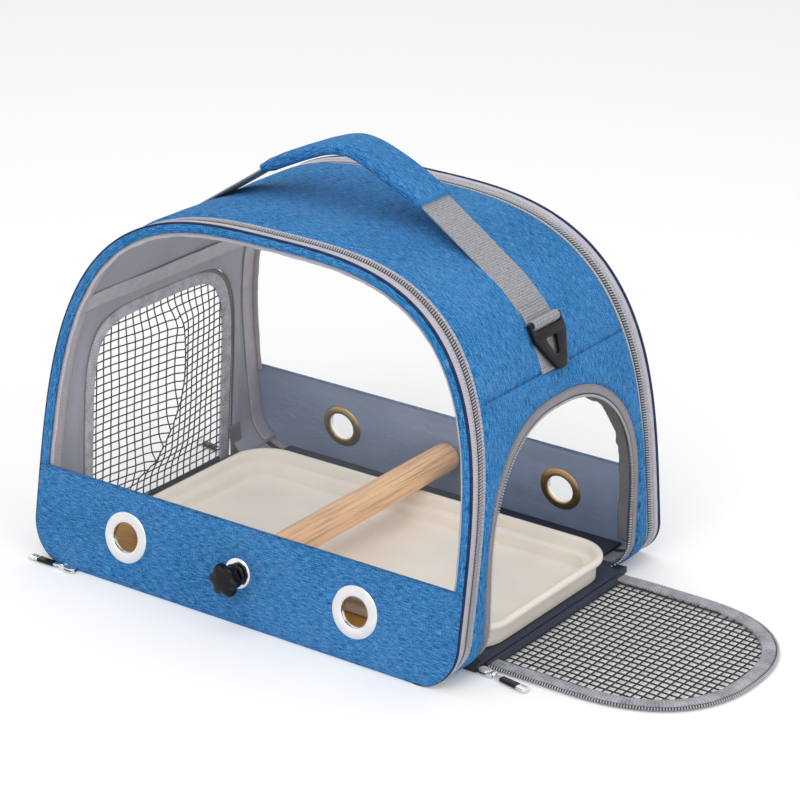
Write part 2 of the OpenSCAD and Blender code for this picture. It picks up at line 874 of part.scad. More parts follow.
// A flat three-cornered ring with a round bar along its upper side
module strap_ring() {
    ring_half = web_w / 2 + 3;
    slot_half = loop_half + 0.8;
    slot_drop = loop_r + loop_t + 1.3;
    translate([bar_at.x, 0, bar_at.y]) rotate([0, -ring_hang, 0]) {
        rotate([90, 0, 0]) translate([0, 0, -ring_half]) cylinder(r = bar_r, h = 2 * ring_half);
        difference() {
            along_x(-ring_t / 2, ring_t / 2) polygon([[ring_half, bar_r], [ring_half, -0.32 * ring_l],
                [ring_half - 2, -0.4 * ring_l], [7, -0.94 * ring_l], [4, -ring_l], [-4, -ring_l],
                [-7, -0.94 * ring_l], [2 - ring_half, -0.4 * ring_l], [-ring_half, -0.32 * ring_l],
                [-ring_half, bar_r]]);
            translate([-ring_t, -slot_half, -slot_drop]) cube([2 * ring_t, 2 * slot_half, 2 * slot_drop]);
            along_x(-ring_t, ring_t) polygon([[7, -0.35 * ring_l], [-7, -0.35 * ring_l],
                [-2, -0.68 * ring_l], [2, -0.68 * ring_l]]);
        }
    }
}

module right_strap_ring() { color(black) strap_ring(); }
module left_strap_ring() { color(black) mirror([1, 0, 0]) strap_ring(); }

// Distance of a pull's pin from the slider's foot
pin_x = slider_l + 2.6;

// A zipper slider, with its foot at the origin and its pin towards +X
module slider() {
    linear_extrude(slider_t) polygon([[0, -slider_half + 1], [3, -slider_half], [slider_l - 3, -slider_half],
        [slider_l, -slider_half + 0.7], [slider_l, slider_half - 0.7], [slider_l - 3, slider_half],
        [3, slider_half], [0, slider_half - 1]]);
    for (side = [-1, 1]) translate([slider_l - 0.5, side * (slider_half - 1.4) - lug_t / 2, 0])
        cube([lug_l + 1, lug_t, slider_t]);
    translate([pin_x, slider_half - 1, slider_t / 2]) rotate([90, 0, 0])
        cylinder(r = pin_r, h = 2 * slider_half - 2);
}

// A slider's pull, in the slider's own frame
module pull() {
    eye_half = slider_half - 1.4 - lug_t / 2 - clear;
    eye_r = slider_t / 2 + 0.3;
    translate([pin_x, 0, slider_t / 2]) difference() {
        union() {
            translate([0, eye_half, 0]) rotate([90, 0, 0]) cylinder(r = eye_r, h = 2 * eye_half);
            translate([0, -eye_half, -pull_t / 2]) cube([6, 2 * eye_half, pull_t]);
            translate([5, 0, -pull_t / 2]) linear_extrude(pull_t) polygon([[0, -2.4], [2, -3.5],
                [pull_l - 7, -3.5], [pull_l - 5, -2.4], [pull_l - 5, 2.4], [pull_l - 7, 3.5],
                [2, 3.5], [0, 2.4]]);
        }
        translate([0, reach, 0]) rotate([90, 0, 0]) cylinder(r = pin_r + clear, h = 2 * reach);
    }
}

// Distance of a turned slider's nearest corner from its foot
foot = (slider_half - 1) * sin(10) - touch;

// The open door's slider lies at the front end of its sill
module at_right_slider() {
    translate([sill_x + foot, -door_half - slider_half - 1.4, slider_z]) rotate([0, 0, -10]) children();
}

// The closed door's slider has run to the rear end of its sill
module at_left_slider() {
    translate([-sill_x - foot, side_half + slider_half + 1.4, slider_z]) rotate([0, 0, 170]) children();
}

// A face's slider lies against the foot of its band, near the lower left corner
module at_face_slider(side) {
    translate([14 - flat_half, side * (face_y(slider_z) + slider_half - touch), slider_z])
        rotate([0, 0, 180]) children();
}

module zipper_sliders() {
    color(steel) {
        at_right_slider() slider();
        at_left_slider() slider();
        at_face_slider(-1) slider();
        at_face_slider(1) slider();
    }
}

module right_door_pull() { color(steel) at_right_slider() pull(); }
module left_door_pull() { color(steel) at_left_slider() pull(); }
module front_face_pull() { color(steel) at_face_slider(-1) pull(); }
module rear_face_pull() { color(steel) at_face_slider(1) pull(); }

top_panel();
right_end_panel();
left_end_panel();
floor_panel();
base_board();
roof_lining();
right_end_lining();
left_end_lining();
seam_tapes();
front_border();
front_band();
front_window();
rear_border();
rear_band();
rear_window();
window_bindings();
front_piping();
rear_piping();
arch_boning();
front_zipper_tape();
rear_zipper_tape();
front_zipper_teeth();
rear_zipper_teeth();
port_eyelets();
perch_eyelets();
perch();
perch_inserts();
sill_bindings();
right_opening_tape();
right_opening_teeth();
right_inner_flap();
left_opening_tape();
left_opening_teeth();
handle_sleeve();
handle_webbing();
ring_loops();
zipper_sliders();
tray();
right_door_hem();
right_door_net();
right_door_binding();
right_door_teeth();
left_door_hem();
left_door_net();
left_door_binding();
left_door_teeth();
right_strap_ring();
left_strap_ring();
right_door_pull();
left_door_pull();
front_face_pull();
rear_face_pull();
front_knob_washer();
front_star_knob();
front_knob_stud();
rear_knob_washer();
rear_star_knob();
rear_knob_stud();
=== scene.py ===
"""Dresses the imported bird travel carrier: cloth, trims, zippers, nets, metal, wood and plastic."""

import json
import logging
import math
from dataclasses import dataclass, field
from enum import Enum
from typing import Callable, Sequence

import bpy
import numpy as np
from mathutils import Matrix, Vector, noise

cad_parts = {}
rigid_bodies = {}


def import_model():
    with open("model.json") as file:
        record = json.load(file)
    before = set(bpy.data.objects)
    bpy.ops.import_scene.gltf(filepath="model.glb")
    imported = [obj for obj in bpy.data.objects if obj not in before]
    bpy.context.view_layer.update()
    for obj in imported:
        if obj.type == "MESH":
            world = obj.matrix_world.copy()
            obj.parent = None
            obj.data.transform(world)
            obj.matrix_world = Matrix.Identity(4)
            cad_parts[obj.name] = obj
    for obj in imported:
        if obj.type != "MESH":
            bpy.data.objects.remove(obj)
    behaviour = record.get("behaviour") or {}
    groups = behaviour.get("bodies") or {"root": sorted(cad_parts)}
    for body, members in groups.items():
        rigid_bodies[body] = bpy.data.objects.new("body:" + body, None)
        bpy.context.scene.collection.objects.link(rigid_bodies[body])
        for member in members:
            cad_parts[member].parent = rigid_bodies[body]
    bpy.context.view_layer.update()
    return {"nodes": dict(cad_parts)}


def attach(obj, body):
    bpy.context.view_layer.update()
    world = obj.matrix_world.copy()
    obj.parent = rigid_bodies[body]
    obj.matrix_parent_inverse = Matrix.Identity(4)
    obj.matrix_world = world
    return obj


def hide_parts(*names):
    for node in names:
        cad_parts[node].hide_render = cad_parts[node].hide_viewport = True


LOG = logging.getLogger("carrier")
MM = 0.001


class Side(Enum):
    """The two window faces, by the sign of their Y."""

    FRONT = -1
    REAR = 1


class End(Enum):
    """The two door ends, by the sign of their X."""

    RIGHT = 1
    LEFT = -1


# ---- sizes shared by every piece, in millimetres


@dataclass(frozen=True)
class Cabin:
    """The cabin's form: an arch along X whose two faces lean inwards."""

    half_l: float = 200.0
    depth: float = 302.0
    height: float = 296.0
    lean: float = 8.4
    corner: float = 34.0
    side_power: float = 3.1
    rise_power: float = 3.5
    seam_z: float = 206.0
    wall: float = 3.0
    lining: float = 0.6
    piping: float = 6.0
    tape: float = 12.0
    proud: float = 0.8
    border: float = 13.0
    band: float = 77.0
    floor_top: float = 5.0

    @property
    def flat(self) -> float:
        """Half the length of the floor between the arch's round corners."""
        return self.half_l - self.corner

    @property
    def strip(self) -> float:
        """How far the zipper tape's inner edge lies behind the face."""
        return self.wall + self.piping + self.tape

    def face_y(self, z: float | np.ndarray, d: float = 0.0) -> float | np.ndarray:
        """Half the cabin's depth at height z, d inside the leaning face."""
        lean = math.radians(self.lean)
        return self.depth / 2 - z * math.tan(lean) - d / math.cos(lean)

    def face_out(self, side: Side) -> np.ndarray:
        """The outward direction of a leaning face."""
        lean = math.radians(self.lean)
        return np.array([0.0, side.value * math.cos(lean), math.sin(lean)])


@dataclass(frozen=True)
class DoorShape:
    """A door's outline, from its hinge to its rounded top."""

    half: float
    straight: float
    length: float
    power: float
    hinge_z: float = 2.5
    gap: float = 0.6
    teeth: float = 2.6
    binding: float = 10.4
    hem: float = 14.0

    def outline(self, grow: float, low: float, step: float = 3.0) -> np.ndarray:
        """The outline as seen from outside, grown outwards.

        Args:
            grow: how far outside the door's own edge the line runs.
            low: the height above the hinge at which both legs start.
            step: the distance between points.

        Returns:
            An (n, 2) array of positions across and up from the hinge, right leg first.
        """
        t = np.radians(np.linspace(0.0, 180.0, 721))
        across = (self.half + grow) * np.sign(np.cos(t)) * np.abs(np.cos(t)) ** (2 / self.power)
        up = self.straight + (self.length + grow - self.straight) * np.abs(np.sin(t)) ** (2 / self.power)
        line = np.vstack([[self.half + grow, low], np.column_stack([across, up]), [-self.half - grow, low]])
        return resample(line, step)


CABIN = Cabin()
RIGHT_DOOR = DoorShape(half=99.0, straight=67.0, length=174.0, power=2.4)
LEFT_DOOR = DoorShape(half=97.0, straight=60.0, length=186.0, power=5.0)


# ---- curves and surfaces


def resample(line: np.ndarray, step: float) -> np.ndarray:
    """Spaces the points of a line evenly.

    Args:
        line: an (n, k) array of points.
        step: the wanted distance between points.

    Returns:
        An (m, k) array with the same two ends.
    """
    gaps = np.linalg.norm(np.diff(line, axis=0), axis=1)
    keep = np.concatenate([[True], gaps > 1e-9])
    line, gaps = line[keep], gaps[keep[1:]]
    s = np.concatenate([[0.0], np.cumsum(gaps)])
    n = max(2, int(round(s[-1] / step)) + 1)
    at = np.linspace(0.0, s[-1], n)
    return np.column_stack([np.interp(at, s, line[:, k]) for k in range(line.shape[1])])


def lengths(line: np.ndarray) -> np.ndarray:
    """The distance along a line at each of its points."""
    return np.concatenate([[0.0], np.cumsum(np.linalg.norm(np.diff(line, axis=0), axis=1))])


def unit(v: np.ndarray) -> np.ndarray:
    """The vectors of an array, each made one long."""
    return v / np.maximum(np.linalg.norm(v, axis=-1, keepdims=True), 1e-12)


def tangents(line: np.ndarray, closed: bool = False) -> np.ndarray:
    """The direction of a line at each of its points.

    Args:
        line: an (n, k) array of points.
        closed: whether the last point joins the first.

    Returns:
        An (n, k) array of unit vectors.
    """
    if closed:
        return unit(np.roll(line, -1, axis=0) - np.roll(line, 1, axis=0))
    return unit(np.gradient(line, axis=0))


def ripple(points: np.ndarray, scale: float, seed: float = 0.0) -> np.ndarray:
    """Smooth noise between about -1 and 1.

    Args:
        points: an array whose last axis is a place in millimetres.
        scale: the size of one ripple, in millimetres.
        seed: moves the pattern, so that two pieces differ.

    Returns:
        An array of the same shape without its last axis.
    """
    flat = points.reshape(-1, points.shape[-1]) / scale
    z = np.zeros(len(flat)) if flat.shape[1] == 2 else flat[:, 2]
    out = [noise.noise(Vector((a + seed, b - 2 * seed, c + 3 * seed))) for a, b, c in zip(flat[:, 0], flat[:, 1], z)]
    return np.array(out).reshape(points.shape[:-1])


def smooth(x: np.ndarray, low: float, high: float) -> np.ndarray:
    """A smooth step from 0 at low to 1 at high."""
    t = np.clip((x - low) / (high - low), 0.0, 1.0)
    return t * t * (3 - 2 * t)


class Arch:
    """The cabin's outline in X and Z, from the right foot over the top to the left foot."""

    def __init__(self, cabin: Cabin, step: float = 3.0) -> None:
        """Works out the outline and its outward directions."""
        c = cabin
        low = np.radians(np.linspace(-90.0, 0.0, 60))
        right = np.column_stack([c.flat + c.corner * np.cos(low), c.corner + c.corner * np.sin(low)])
        t = np.radians(np.linspace(0.0, 180.0, 6001))[1:-1]
        over = np.column_stack([
            c.half_l * np.sign(np.cos(t)) * np.abs(np.cos(t)) ** (2 / c.side_power),
            c.corner + (c.height - c.corner) * np.sin(t) ** (2 / c.rise_power)])
        left = right[::-1] * [-1.0, 1.0]
        self.line = resample(np.vstack([right, over, left]), step)
        along = tangents(self.line)
        self.out = np.column_stack([along[:, 1], -along[:, 0]])
        self.s = lengths(self.line)
        self.length = float(self.s[-1])
        half = len(self.s) // 2
        self._z, self._x, self._zs = self.line[:half, 1], self.line[:half, 0], self.s[:half]
        self._nx, self._nz = self.out[:half, 0], self.out[:half, 1]

    def s_at(self, z: float, end: End) -> float:
        """The distance along the outline at which an end wall is at height z."""
        s = float(np.interp(z, self._z, self._zs))
        return s if end is End.RIGHT else self.length - s

    def at(self, s: np.ndarray, d: np.ndarray | float = 0.0) -> np.ndarray:
        """Points of the outline.

        Args:
            s: distances along it.
            d: how far inside it, at each distance.

        Returns:
            An (n, 2) array of X and Z.
        """
        base = np.column_stack([np.interp(s, self.s, self.line[:, k]) for k in (0, 1)])
        return base - self.out_at(s) * np.broadcast_to(d, np.shape(s))[..., None]

    def out_at(self, s: np.ndarray) -> np.ndarray:
        """The outward directions in X and Z at distances along the outline."""
        return unit(np.column_stack([np.interp(s, self.s, self.out[:, k]) for k in (0, 1)]))

    def wall(self, across: np.ndarray, up: np.ndarray, d: np.ndarray | float, end: End) -> np.ndarray:
        """Points on an end wall.

        Args:
            across: Y of each point.
            up: height of each point.
            d: how far inside the outer surface.
            end: which end wall.

        Returns:
            An array with a last axis of X, Y and Z.
        """
        x, nx, nz = (np.interp(up, self._z, k) for k in (self._x, self._nx, self._nz))
        return np.stack([end.value * (x - nx * d), across, up - nz * d], axis=-1)

    def wall_out(self, up: np.ndarray, end: End) -> np.ndarray:
        """The outward directions of an end wall at some heights."""
        nx, nz = (np.interp(up, self._z, k) for k in (self._nx, self._nz))
        return unit(np.stack([end.value * nx, np.zeros_like(nx), nz], axis=-1))

    def hoop(self, inset: float, step: float = 3.0) -> np.ndarray:
        """The whole outline moved inwards, from foot to foot, as X and Z."""
        s = np.linspace(0.0, self.length, int(self.length / step) + 1)
        return self.at(s, inset)


ARCH = Arch(CABIN)


# ---- meshes


@dataclass
class MeshParts:
    """Vertices, faces, UVs and face finishes that are gathered into one mesh."""

    verts: list = field(default_factory=list)
    faces: list = field(default_factory=list)
    uvs: list = field(default_factory=list)
    slots: list = field(default_factory=list)

    def grid(self, pts: np.ndarray, uv: np.ndarray, close_u: bool = False, close_v: bool = False,
             flip: bool = False, slot: int = 0, keep: Callable[[np.ndarray], bool] | None = None) -> None:
        """Adds a sheet of four-sided faces.

        Args:
            pts: an (m, n, 3) array of places in millimetres.
            uv: an (m, n, 2) array in millimetres; closed grids need one more row or column.
            close_u: whether the last row joins the first.
            close_v: whether the last column joins the first.
            flip: turns the faces over.
            slot: number of the finish.
            keep: says, from a face's middle, whether the face stays.
        """
        m, n = pts.shape[:2]
        base = len(self.verts)
        self.verts.extend(pts.reshape(-1, 3).tolist())
        for i in range(m if close_u else m - 1):
            for j in range(n if close_v else n - 1):
                i2, j2 = (i + 1) % m, (j + 1) % n
                ring = [(i, j), (i2, j), (i2, j2), (i, j2)]
                if keep is not None and not keep(sum(pts[a, b] for a, b in ring) / 4):
                    continue
                tex = [uv[i, j], uv[i + 1, j], uv[i + 1, j + 1], uv[i, j + 1]]
                if flip:
                    ring, tex = ring[::-1], tex[::-1]
                self.faces.append([base + a * n + b for a, b in ring])
                self.uvs.extend(tex)
                self.slots.append(slot)

    def fan(self, ring: np.ndarray, middle: np.ndarray, flip: bool = False, slot: int = 0) -> None:
        """Closes a ring of points with triangles to one middle point."""
        base, n = len(self.verts), len(ring)
        self.verts.extend(ring.tolist() + [list(middle)])
        for i in range(n):
            tri = [base + i, base + (i + 1) % n, base + n]
            self.faces.append(tri[::-1] if flip else tri)
            self.uvs.extend([[0.0, 0.0]] * 3)
            self.slots.append(slot)

    def slab(self, outer: np.ndarray, inner: np.ndarray, uv: np.ndarray, inner_slot: int = 0,
             keep: Callable[[np.ndarray], bool] | None = None) -> None:
        """Adds a sheet with thickness: two grids and the rim between them."""
        self.grid(outer, uv, keep=keep)
        self.grid(inner, uv, flip=True, slot=inner_slot, keep=keep)
        for a, b, t, turn in ((outer[0], inner[0], uv[0], True), (outer[-1], inner[-1], uv[-1], False),
                              (outer[:, 0], inner[:, 0], uv[:, 0], False),
                              (outer[:, -1], inner[:, -1], uv[:, -1], True)):
            self.grid(np.stack([a, b], axis=1), np.stack([t, t + 1.0], axis=1), flip=turn)

    def build(self, name: str, finishes: Sequence["Finish"], flat: bool = False) -> bpy.types.Object:
        """Makes the object, with its faces turned outwards.

        Args:
            name: the object's name.
            finishes: one finish for each slot number.
            flat: leaves the faces flat shaded.

        Returns:
            The object, at the origin and in metres.
        """
        mesh = bpy.data.meshes.new(name)
        mesh.from_pydata([[k * MM for k in v] for v in self.verts], [], self.faces)
        layer = mesh.uv_layers.new(name="UVMap")
        layer.data.foreach_set("uv", np.array(self.uvs, float).ravel() * MM)
        mesh.polygons.foreach_set("material_index", self.slots)
        if not flat:
            mesh.shade_smooth()
        obj = bpy.data.objects.new(name, mesh)
        bpy.context.scene.collection.objects.link(obj)
        for finish in finishes:
            mesh.materials.append(finish.material())
        return obj


def weld(obj: bpy.types.Object, gap: float = 0.01, turn: bool = True) -> bpy.types.Object:
    """Merges doubled points and turns the faces outwards.

    Args:
        obj: the object to clean.
        gap: the largest distance to merge, in millimetres.
        turn: whether the normals are worked out again.

    Returns:
        The same object.
    """
    import bmesh

    bm = bmesh.new()
    bm.from_mesh(obj.data)
    bmesh.ops.remove_doubles(bm, verts=bm.verts, dist=gap * MM)
    bmesh.ops.dissolve_degenerate(bm, edges=bm.edges, dist=1e-7)
    if turn:
        bmesh.ops.recalc_face_normals(bm, faces=bm.faces)
    bm.to_mesh(obj.data)
    bm.free()
    return obj


def sharpen(obj: bpy.types.Object, degrees: float = 40.0) -> bpy.types.Object:
    """Keeps the edges crisp where two faces meet at more than an angle."""
    obj.data.set_sharp_from_angle(angle=math.radians(degrees))
    return obj


def sweep(path: np.ndarray, across: np.ndarray, out: np.ndarray, profile: np.ndarray | Callable[[int], np.ndarray],
          parts: MeshParts, closed: bool = False, slot: int = 0, u0: float = 0.0) -> None:
    """Adds a closed section drawn along a path.

    Args:
        path: an (n, 3) array of places.
        across: the section's first direction at each place.
        out: the section's second direction at each place.
        profile: the section as a (k, 2) array, or a function of the place's number.
        parts: where the faces go.
        closed: whether the path is a ring.
        slot: number of the finish.
        u0: where the texture starts along the path.
    """
    rows = []
    for i in range(len(path)):
        p = profile(i) if callable(profile) else profile
        rows.append(path[i] + p[:, :1] * across[i] + p[:, 1:] * out[i])
    pts = np.array(rows)
    first = profile(0) if callable(profile) else profile
    round_it = lengths(np.vstack([first, first[:1]]))
    along = lengths(np.vstack([path, path[:1]]) if closed else path) + u0
    uv = np.stack(np.meshgrid(along, round_it, indexing="ij"), axis=-1)
    parts.grid(pts, uv, close_u=closed, close_v=True, slot=slot)
    if not closed:
        parts.fan(pts[0], pts[0].mean(axis=0), slot=slot)
        parts.fan(pts[-1], pts[-1].mean(axis=0), flip=True, slot=slot)


def rounded(w1: float, w2: float, h1: float, h2: float, r: float, n: int = 3, fill: int = 0) -> np.ndarray:
    """A section's outline: a rectangle with round corners.

    Args:
        w1: where it starts across.
        w2: where it ends across.
        h1: its lowest side.
        h2: its highest side.
        r: the radius of its corners.
        n: steps in each corner.
        fill: extra points along each long side.

    Returns:
        A (k, 2) array, anticlockwise.
    """
    r = min(r, abs(w2 - w1) / 2 - 1e-4, abs(h2 - h1) / 2 - 1e-4)
    pts = []
    for cx, cy, a0 in ((w2 - r, h2 - r, 0), (w1 + r, h2 - r, 90), (w1 + r, h1 + r, 180), (w2 - r, h1 + r, 270)):
        for i in range(n + 1):
            a = math.radians(a0 + 90 * i / n)
            pts.append([cx + r * math.cos(a), cy + r * math.sin(a)])
        if fill and a0 in (0, 180):
            x1, x2 = (w2 - r, w1 + r) if a0 == 0 else (w1 + r, w2 - r)
            y = h2 if a0 == 0 else h1
            pts.extend([[x1 + (x2 - x1) * (k + 1) / (fill + 1), y] for k in range(fill)])
    return np.array(pts)


def lathe(profile: Sequence[tuple[float, float]], place: Matrix, parts: MeshParts, steps: int = 64,
          ring: bool = False, slot: int = 0) -> None:
    """Adds a turned shape.

    Args:
        profile: radius and height pairs, from the axis round to the axis, or a closed section.
        place: puts the shape's Z axis and origin in the cabin's frame, in millimetres.
        parts: where the faces go.
        steps: faces round the axis.
        ring: whether the section is closed and clear of the axis.
        slot: number of the finish.
    """
    prof = np.array(profile, float)
    a = np.linspace(0.0, 2 * math.pi, steps, endpoint=False)
    pts = np.stack([np.outer(np.cos(a), prof[:, 0]), np.outer(np.sin(a), prof[:, 0]),
                    np.broadcast_to(prof[:, 1], (steps, len(prof)))], axis=-1)
    m = np.array(place)
    pts = pts @ m[:3, :3].T + m[:3, 3]
    along = lengths(np.vstack([prof, prof[:1]]) if ring else prof)
    mean = float(np.abs(prof[:, 0]).mean())
    uv = np.stack(np.meshgrid(np.append(a, 2 * math.pi) * mean, along, indexing="ij"), axis=-1)
    parts.grid(pts, uv, close_u=True, close_v=ring, slot=slot)


def axes(origin: Sequence[float], x: Sequence[float], z: Sequence[float]) -> Matrix:
    """A placing matrix from an origin, an X direction and a Z direction."""
    z_dir = unit(np.array(z, float))
    x_dir = np.array(x, float)
    x_dir = unit(x_dir - z_dir * float(x_dir @ z_dir))
    y_dir = np.cross(z_dir, x_dir)
    m = Matrix.Identity(4)
    for k in range(3):
        m[k][0], m[k][1], m[k][2], m[k][3] = x_dir[k], y_dir[k], z_dir[k], float(origin[k])
    return m


def moved(pts: np.ndarray, place: Matrix) -> np.ndarray:
    """Points put through a placing matrix."""
    m = np.array(place)
    return pts @ m[:3, :3].T + m[:3, 3]


# ---- finishes


class Tree:
    """A material's nodes, with short calls to add and join them."""

    def __init__(self, name: str) -> None:
        """Starts a material with only a shader and an output."""
        self.mat = bpy.data.materials.new(name)
        self.mat.use_nodes = True
        self.nodes = self.mat.node_tree.nodes
        self.links = self.mat.node_tree.links
        self.shader = self.nodes["Principled BSDF"]
        self.coord = self.nodes.new("ShaderNodeTexCoord")

    def place(self, source: str, scale: tuple[float, float, float], turn: float = 0.0) -> bpy.types.NodeSocket:
        """A place on the piece, scaled.

        Args:
            source: UV or Object.
            scale: the scale along each axis, in repeats a metre.
            turn: a turn about Z, in degrees.

        Returns:
            The vector's socket.
        """
        node = self.nodes.new("ShaderNodeMapping")
        node.inputs["Scale"].default_value = scale
        node.inputs["Rotation"].default_value = (0.0, 0.0, math.radians(turn))
        self.links.new(self.coord.outputs[source], node.inputs["Vector"])
        return node.outputs["Vector"]

    def noise(self, vector: bpy.types.NodeSocket, scale: float = 1.0, detail: float = 3.0,
              rough: float = 0.55) -> bpy.types.NodeSocket:
        """Cloudy noise at a place, as a number from 0 to 1."""
        node = self.nodes.new("ShaderNodeTexNoise")
        node.inputs["Scale"].default_value = scale
        node.inputs["Detail"].default_value = detail
        node.inputs["Roughness"].default_value = rough
        self.links.new(vector, node.inputs["Vector"])
        return node.outputs["Fac"]

    def waves(self, vector: bpy.types.NodeSocket, direction: str = "X", warp: float = 0.0,
              scale: float = 1.0) -> bpy.types.NodeSocket:
        """Even stripes at a place, as a number from 0 to 1."""
        node = self.nodes.new("ShaderNodeTexWave")
        node.bands_direction = direction
        node.inputs["Scale"].default_value = scale
        node.inputs["Distortion"].default_value = warp
        node.inputs["Detail"].default_value = 1.0
        self.links.new(vector, node.inputs["Vector"])
        return node.outputs["Fac"]

    def math(self, kind: str, a: bpy.types.NodeSocket | float, b: bpy.types.NodeSocket | float) -> bpy.types.NodeSocket:
        """One sum of two numbers."""
        node = self.nodes.new("ShaderNodeMath")
        node.operation = kind
        for socket, value in zip(node.inputs, (a, b)):
            if isinstance(value, bpy.types.NodeSocket):
                self.links.new(value, socket)
            else:
                socket.default_value = value
        return node.outputs["Value"]

    def ramp(self, factor: bpy.types.NodeSocket, stops: Sequence[tuple[float, Sequence[float]]]) -> bpy.types.NodeSocket:
        """Colours picked by a number.

        Args:
            factor: the number.
            stops: pairs of a place from 0 to 1 and a colour.

        Returns:
            The colour's socket.
        """
        node = self.nodes.new("ShaderNodeValToRGB")
        bar = node.color_ramp.elements
        while len(bar) < len(stops):
            bar.new(0.5)
        for item, (at, colour) in zip(bar, stops):
            item.position = at
            item.color = (*colour[:3], 1.0)
        self.links.new(factor, node.inputs["Fac"])
        return node.outputs["Color"]

    def bump(self, height: bpy.types.NodeSocket, depth: float, strength: float = 1.0) -> None:
        """Raises the surface by a height.

        Args:
            height: a number from 0 to 1.
            depth: what 1 stands for, in millimetres.
            strength: how much of it shows.
        """
        node = self.nodes.new("ShaderNodeBump")
        node.inputs["Distance"].default_value = depth * MM
        node.inputs["Strength"].default_value = strength
        self.links.new(height, node.inputs["Height"])
        self.links.new(node.outputs["Normal"], self.shader.inputs["Normal"])

    def colour(self, socket: bpy.types.NodeSocket) -> None:
        """Joins a colour to the shader."""
        self.links.new(socket, self.shader.inputs["Base Color"])

    def rough(self, factor: bpy.types.NodeSocket, low: float, high: float) -> None:
        """Lets a number vary the roughness between two values."""
        node = self.nodes.new("ShaderNodeMapRange")
        node.inputs["To Min"].default_value = low
        node.inputs["To Max"].default_value = high
        self.links.new(factor, node.inputs["Value"])
        self.links.new(node.outputs["Result"], self.shader.inputs["Roughness"])

    def plain(self, **values: float) -> None:
        """Sets the shader's own numbers, named with underscores for spaces."""
        for name, value in values.items():
            self.shader.inputs[name.replace("_", " ")].default_value = value


def tone(colour: Sequence[float], by: float) -> tuple[float, float, float]:
    """A colour made lighter or darker by a factor."""
    return tuple(min(1.0, c * by) for c in colour[:3])


def rgb(r: int, g: int, b: int) -> tuple[float, float, float]:
    """A display colour from 0 to 255, as the linear colour that shaders use."""
    return tuple(((v / 255 + 0.055) / 1.055) ** 2.4 if v > 10 else v / 255 / 12.92 for v in (r, g, b))


@dataclass(frozen=True)
class Finish:
    """A finish that pieces share; each makes its material once."""

    name: str
    base: tuple[float, float, float]

    def material(self) -> bpy.types.Material:
        """The finish's material, made at its first use."""
        found = bpy.data.materials.get(self.name)
        if found is not None:
            return found
        tree = Tree(self.name)
        tree.mat.diffuse_color = (*self.base, 1.0)
        self.dress(tree)
        return tree.mat

    def dress(self, tree: Tree) -> None:
        """Builds the nodes of the finish."""
        raise NotImplementedError


@dataclass(frozen=True)
class MelangeCloth(Finish):
    """Woven cloth of mixed light and dark yarns that run along both of its directions."""

    yarn: float = 0.6
    contrast: float = 0.56
    fuzz: float = 0.04
    pale: float = 0.22

    def dress(self, tree: Tree) -> None:
        """Crosses two sets of thin flecks and a speckle over a fine weave."""
        k = 1000.0 / self.yarn
        warp = tree.noise(tree.place("UV", (k * 0.08, k * 0.95, k)), detail=2.0, rough=0.65)
        weft = tree.noise(tree.place("UV", (k * 1.1, k * 0.14, k)), detail=2.0, rough=0.6)
        speckle = tree.noise(tree.place("UV", (k * 0.7, k * 1.2, k)), detail=2.0, rough=0.7)
        cloud = tree.noise(tree.place("Object", (16.0, 16.0, 16.0)), detail=3.0)
        mix = tree.math("ADD", tree.math("MULTIPLY", warp, 0.52), tree.math("MULTIPLY", weft, 0.26))
        mix = tree.math("ADD", mix, tree.math("MULTIPLY", speckle, 0.22))
        mix = tree.math("ADD", mix, tree.math("MULTIPLY", tree.math("SUBTRACT", cloud, 0.5), 0.1))
        c = self.contrast
        pale = [v + (0.8 - v) * self.pale for v in self.base]
        tree.colour(tree.ramp(mix, [(0.38, tone(self.base, 1 - 1.4 * c)), (0.46, tone(self.base, 1 - 0.5 * c)),
                                    (0.51, tone(self.base, 1 + 0.35 * c)), (0.61, pale)]))
        weave = tree.math("MULTIPLY", tree.waves(tree.place("UV", (k / 2, 0, 0)), "X", 0.6),
                          tree.waves(tree.place("UV", (0, k / 2, 0)), "Y", 0.6))
        tree.bump(tree.math("ADD", tree.math("MULTIPLY", weave, 0.5), mix), 0.45, 0.9)
        tree.plain(Roughness=0.86, Sheen_Weight=self.fuzz, Sheen_Roughness=0.5, Specular_IOR_Level=0.25)


@dataclass(frozen=True)
class RibbedTape(Finish):
    """Woven tape or webbing with ribs across it and a slight sheen."""

    rib: float = 1.1
    depth: float = 0.25
    shine: float = 0.55
    lines: float = 0.25
    mottle: float = 0.25
    spread: float = 0.28

    def dress(self, tree: Tree) -> None:
        """Lays ribs across the tape and speckles their colour."""
        k = 1000.0 / self.rib
        ribs = tree.waves(tree.place("UV", (k / 6.283, 0, 0)), "X", 0.9)
        yarns = tree.noise(tree.place("UV", (k * 0.35, k * 1.4, 1.0)), detail=2.0)
        cloud = tree.noise(tree.place("Object", (90.0, 90.0, 90.0)), detail=3.0)
        speckle = 1.0 - self.lines - self.mottle
        mix = tree.math("ADD", tree.math("MULTIPLY", ribs, self.lines), tree.math("MULTIPLY", yarns, speckle))
        mix = tree.math("ADD", mix, tree.math("MULTIPLY", cloud, self.mottle))
        tree.colour(tree.ramp(mix, [(0.3, tone(self.base, 1.0 - self.spread)), (0.5, self.base),
                                    (0.7, tone(self.base, 1.0 + self.spread))]))
        tree.bump(mix, self.depth, 0.9)
        tree.rough(yarns, self.shine - 0.08, self.shine + 0.15)
        tree.plain(Sheen_Weight=0.08, Specular_IOR_Level=0.4)


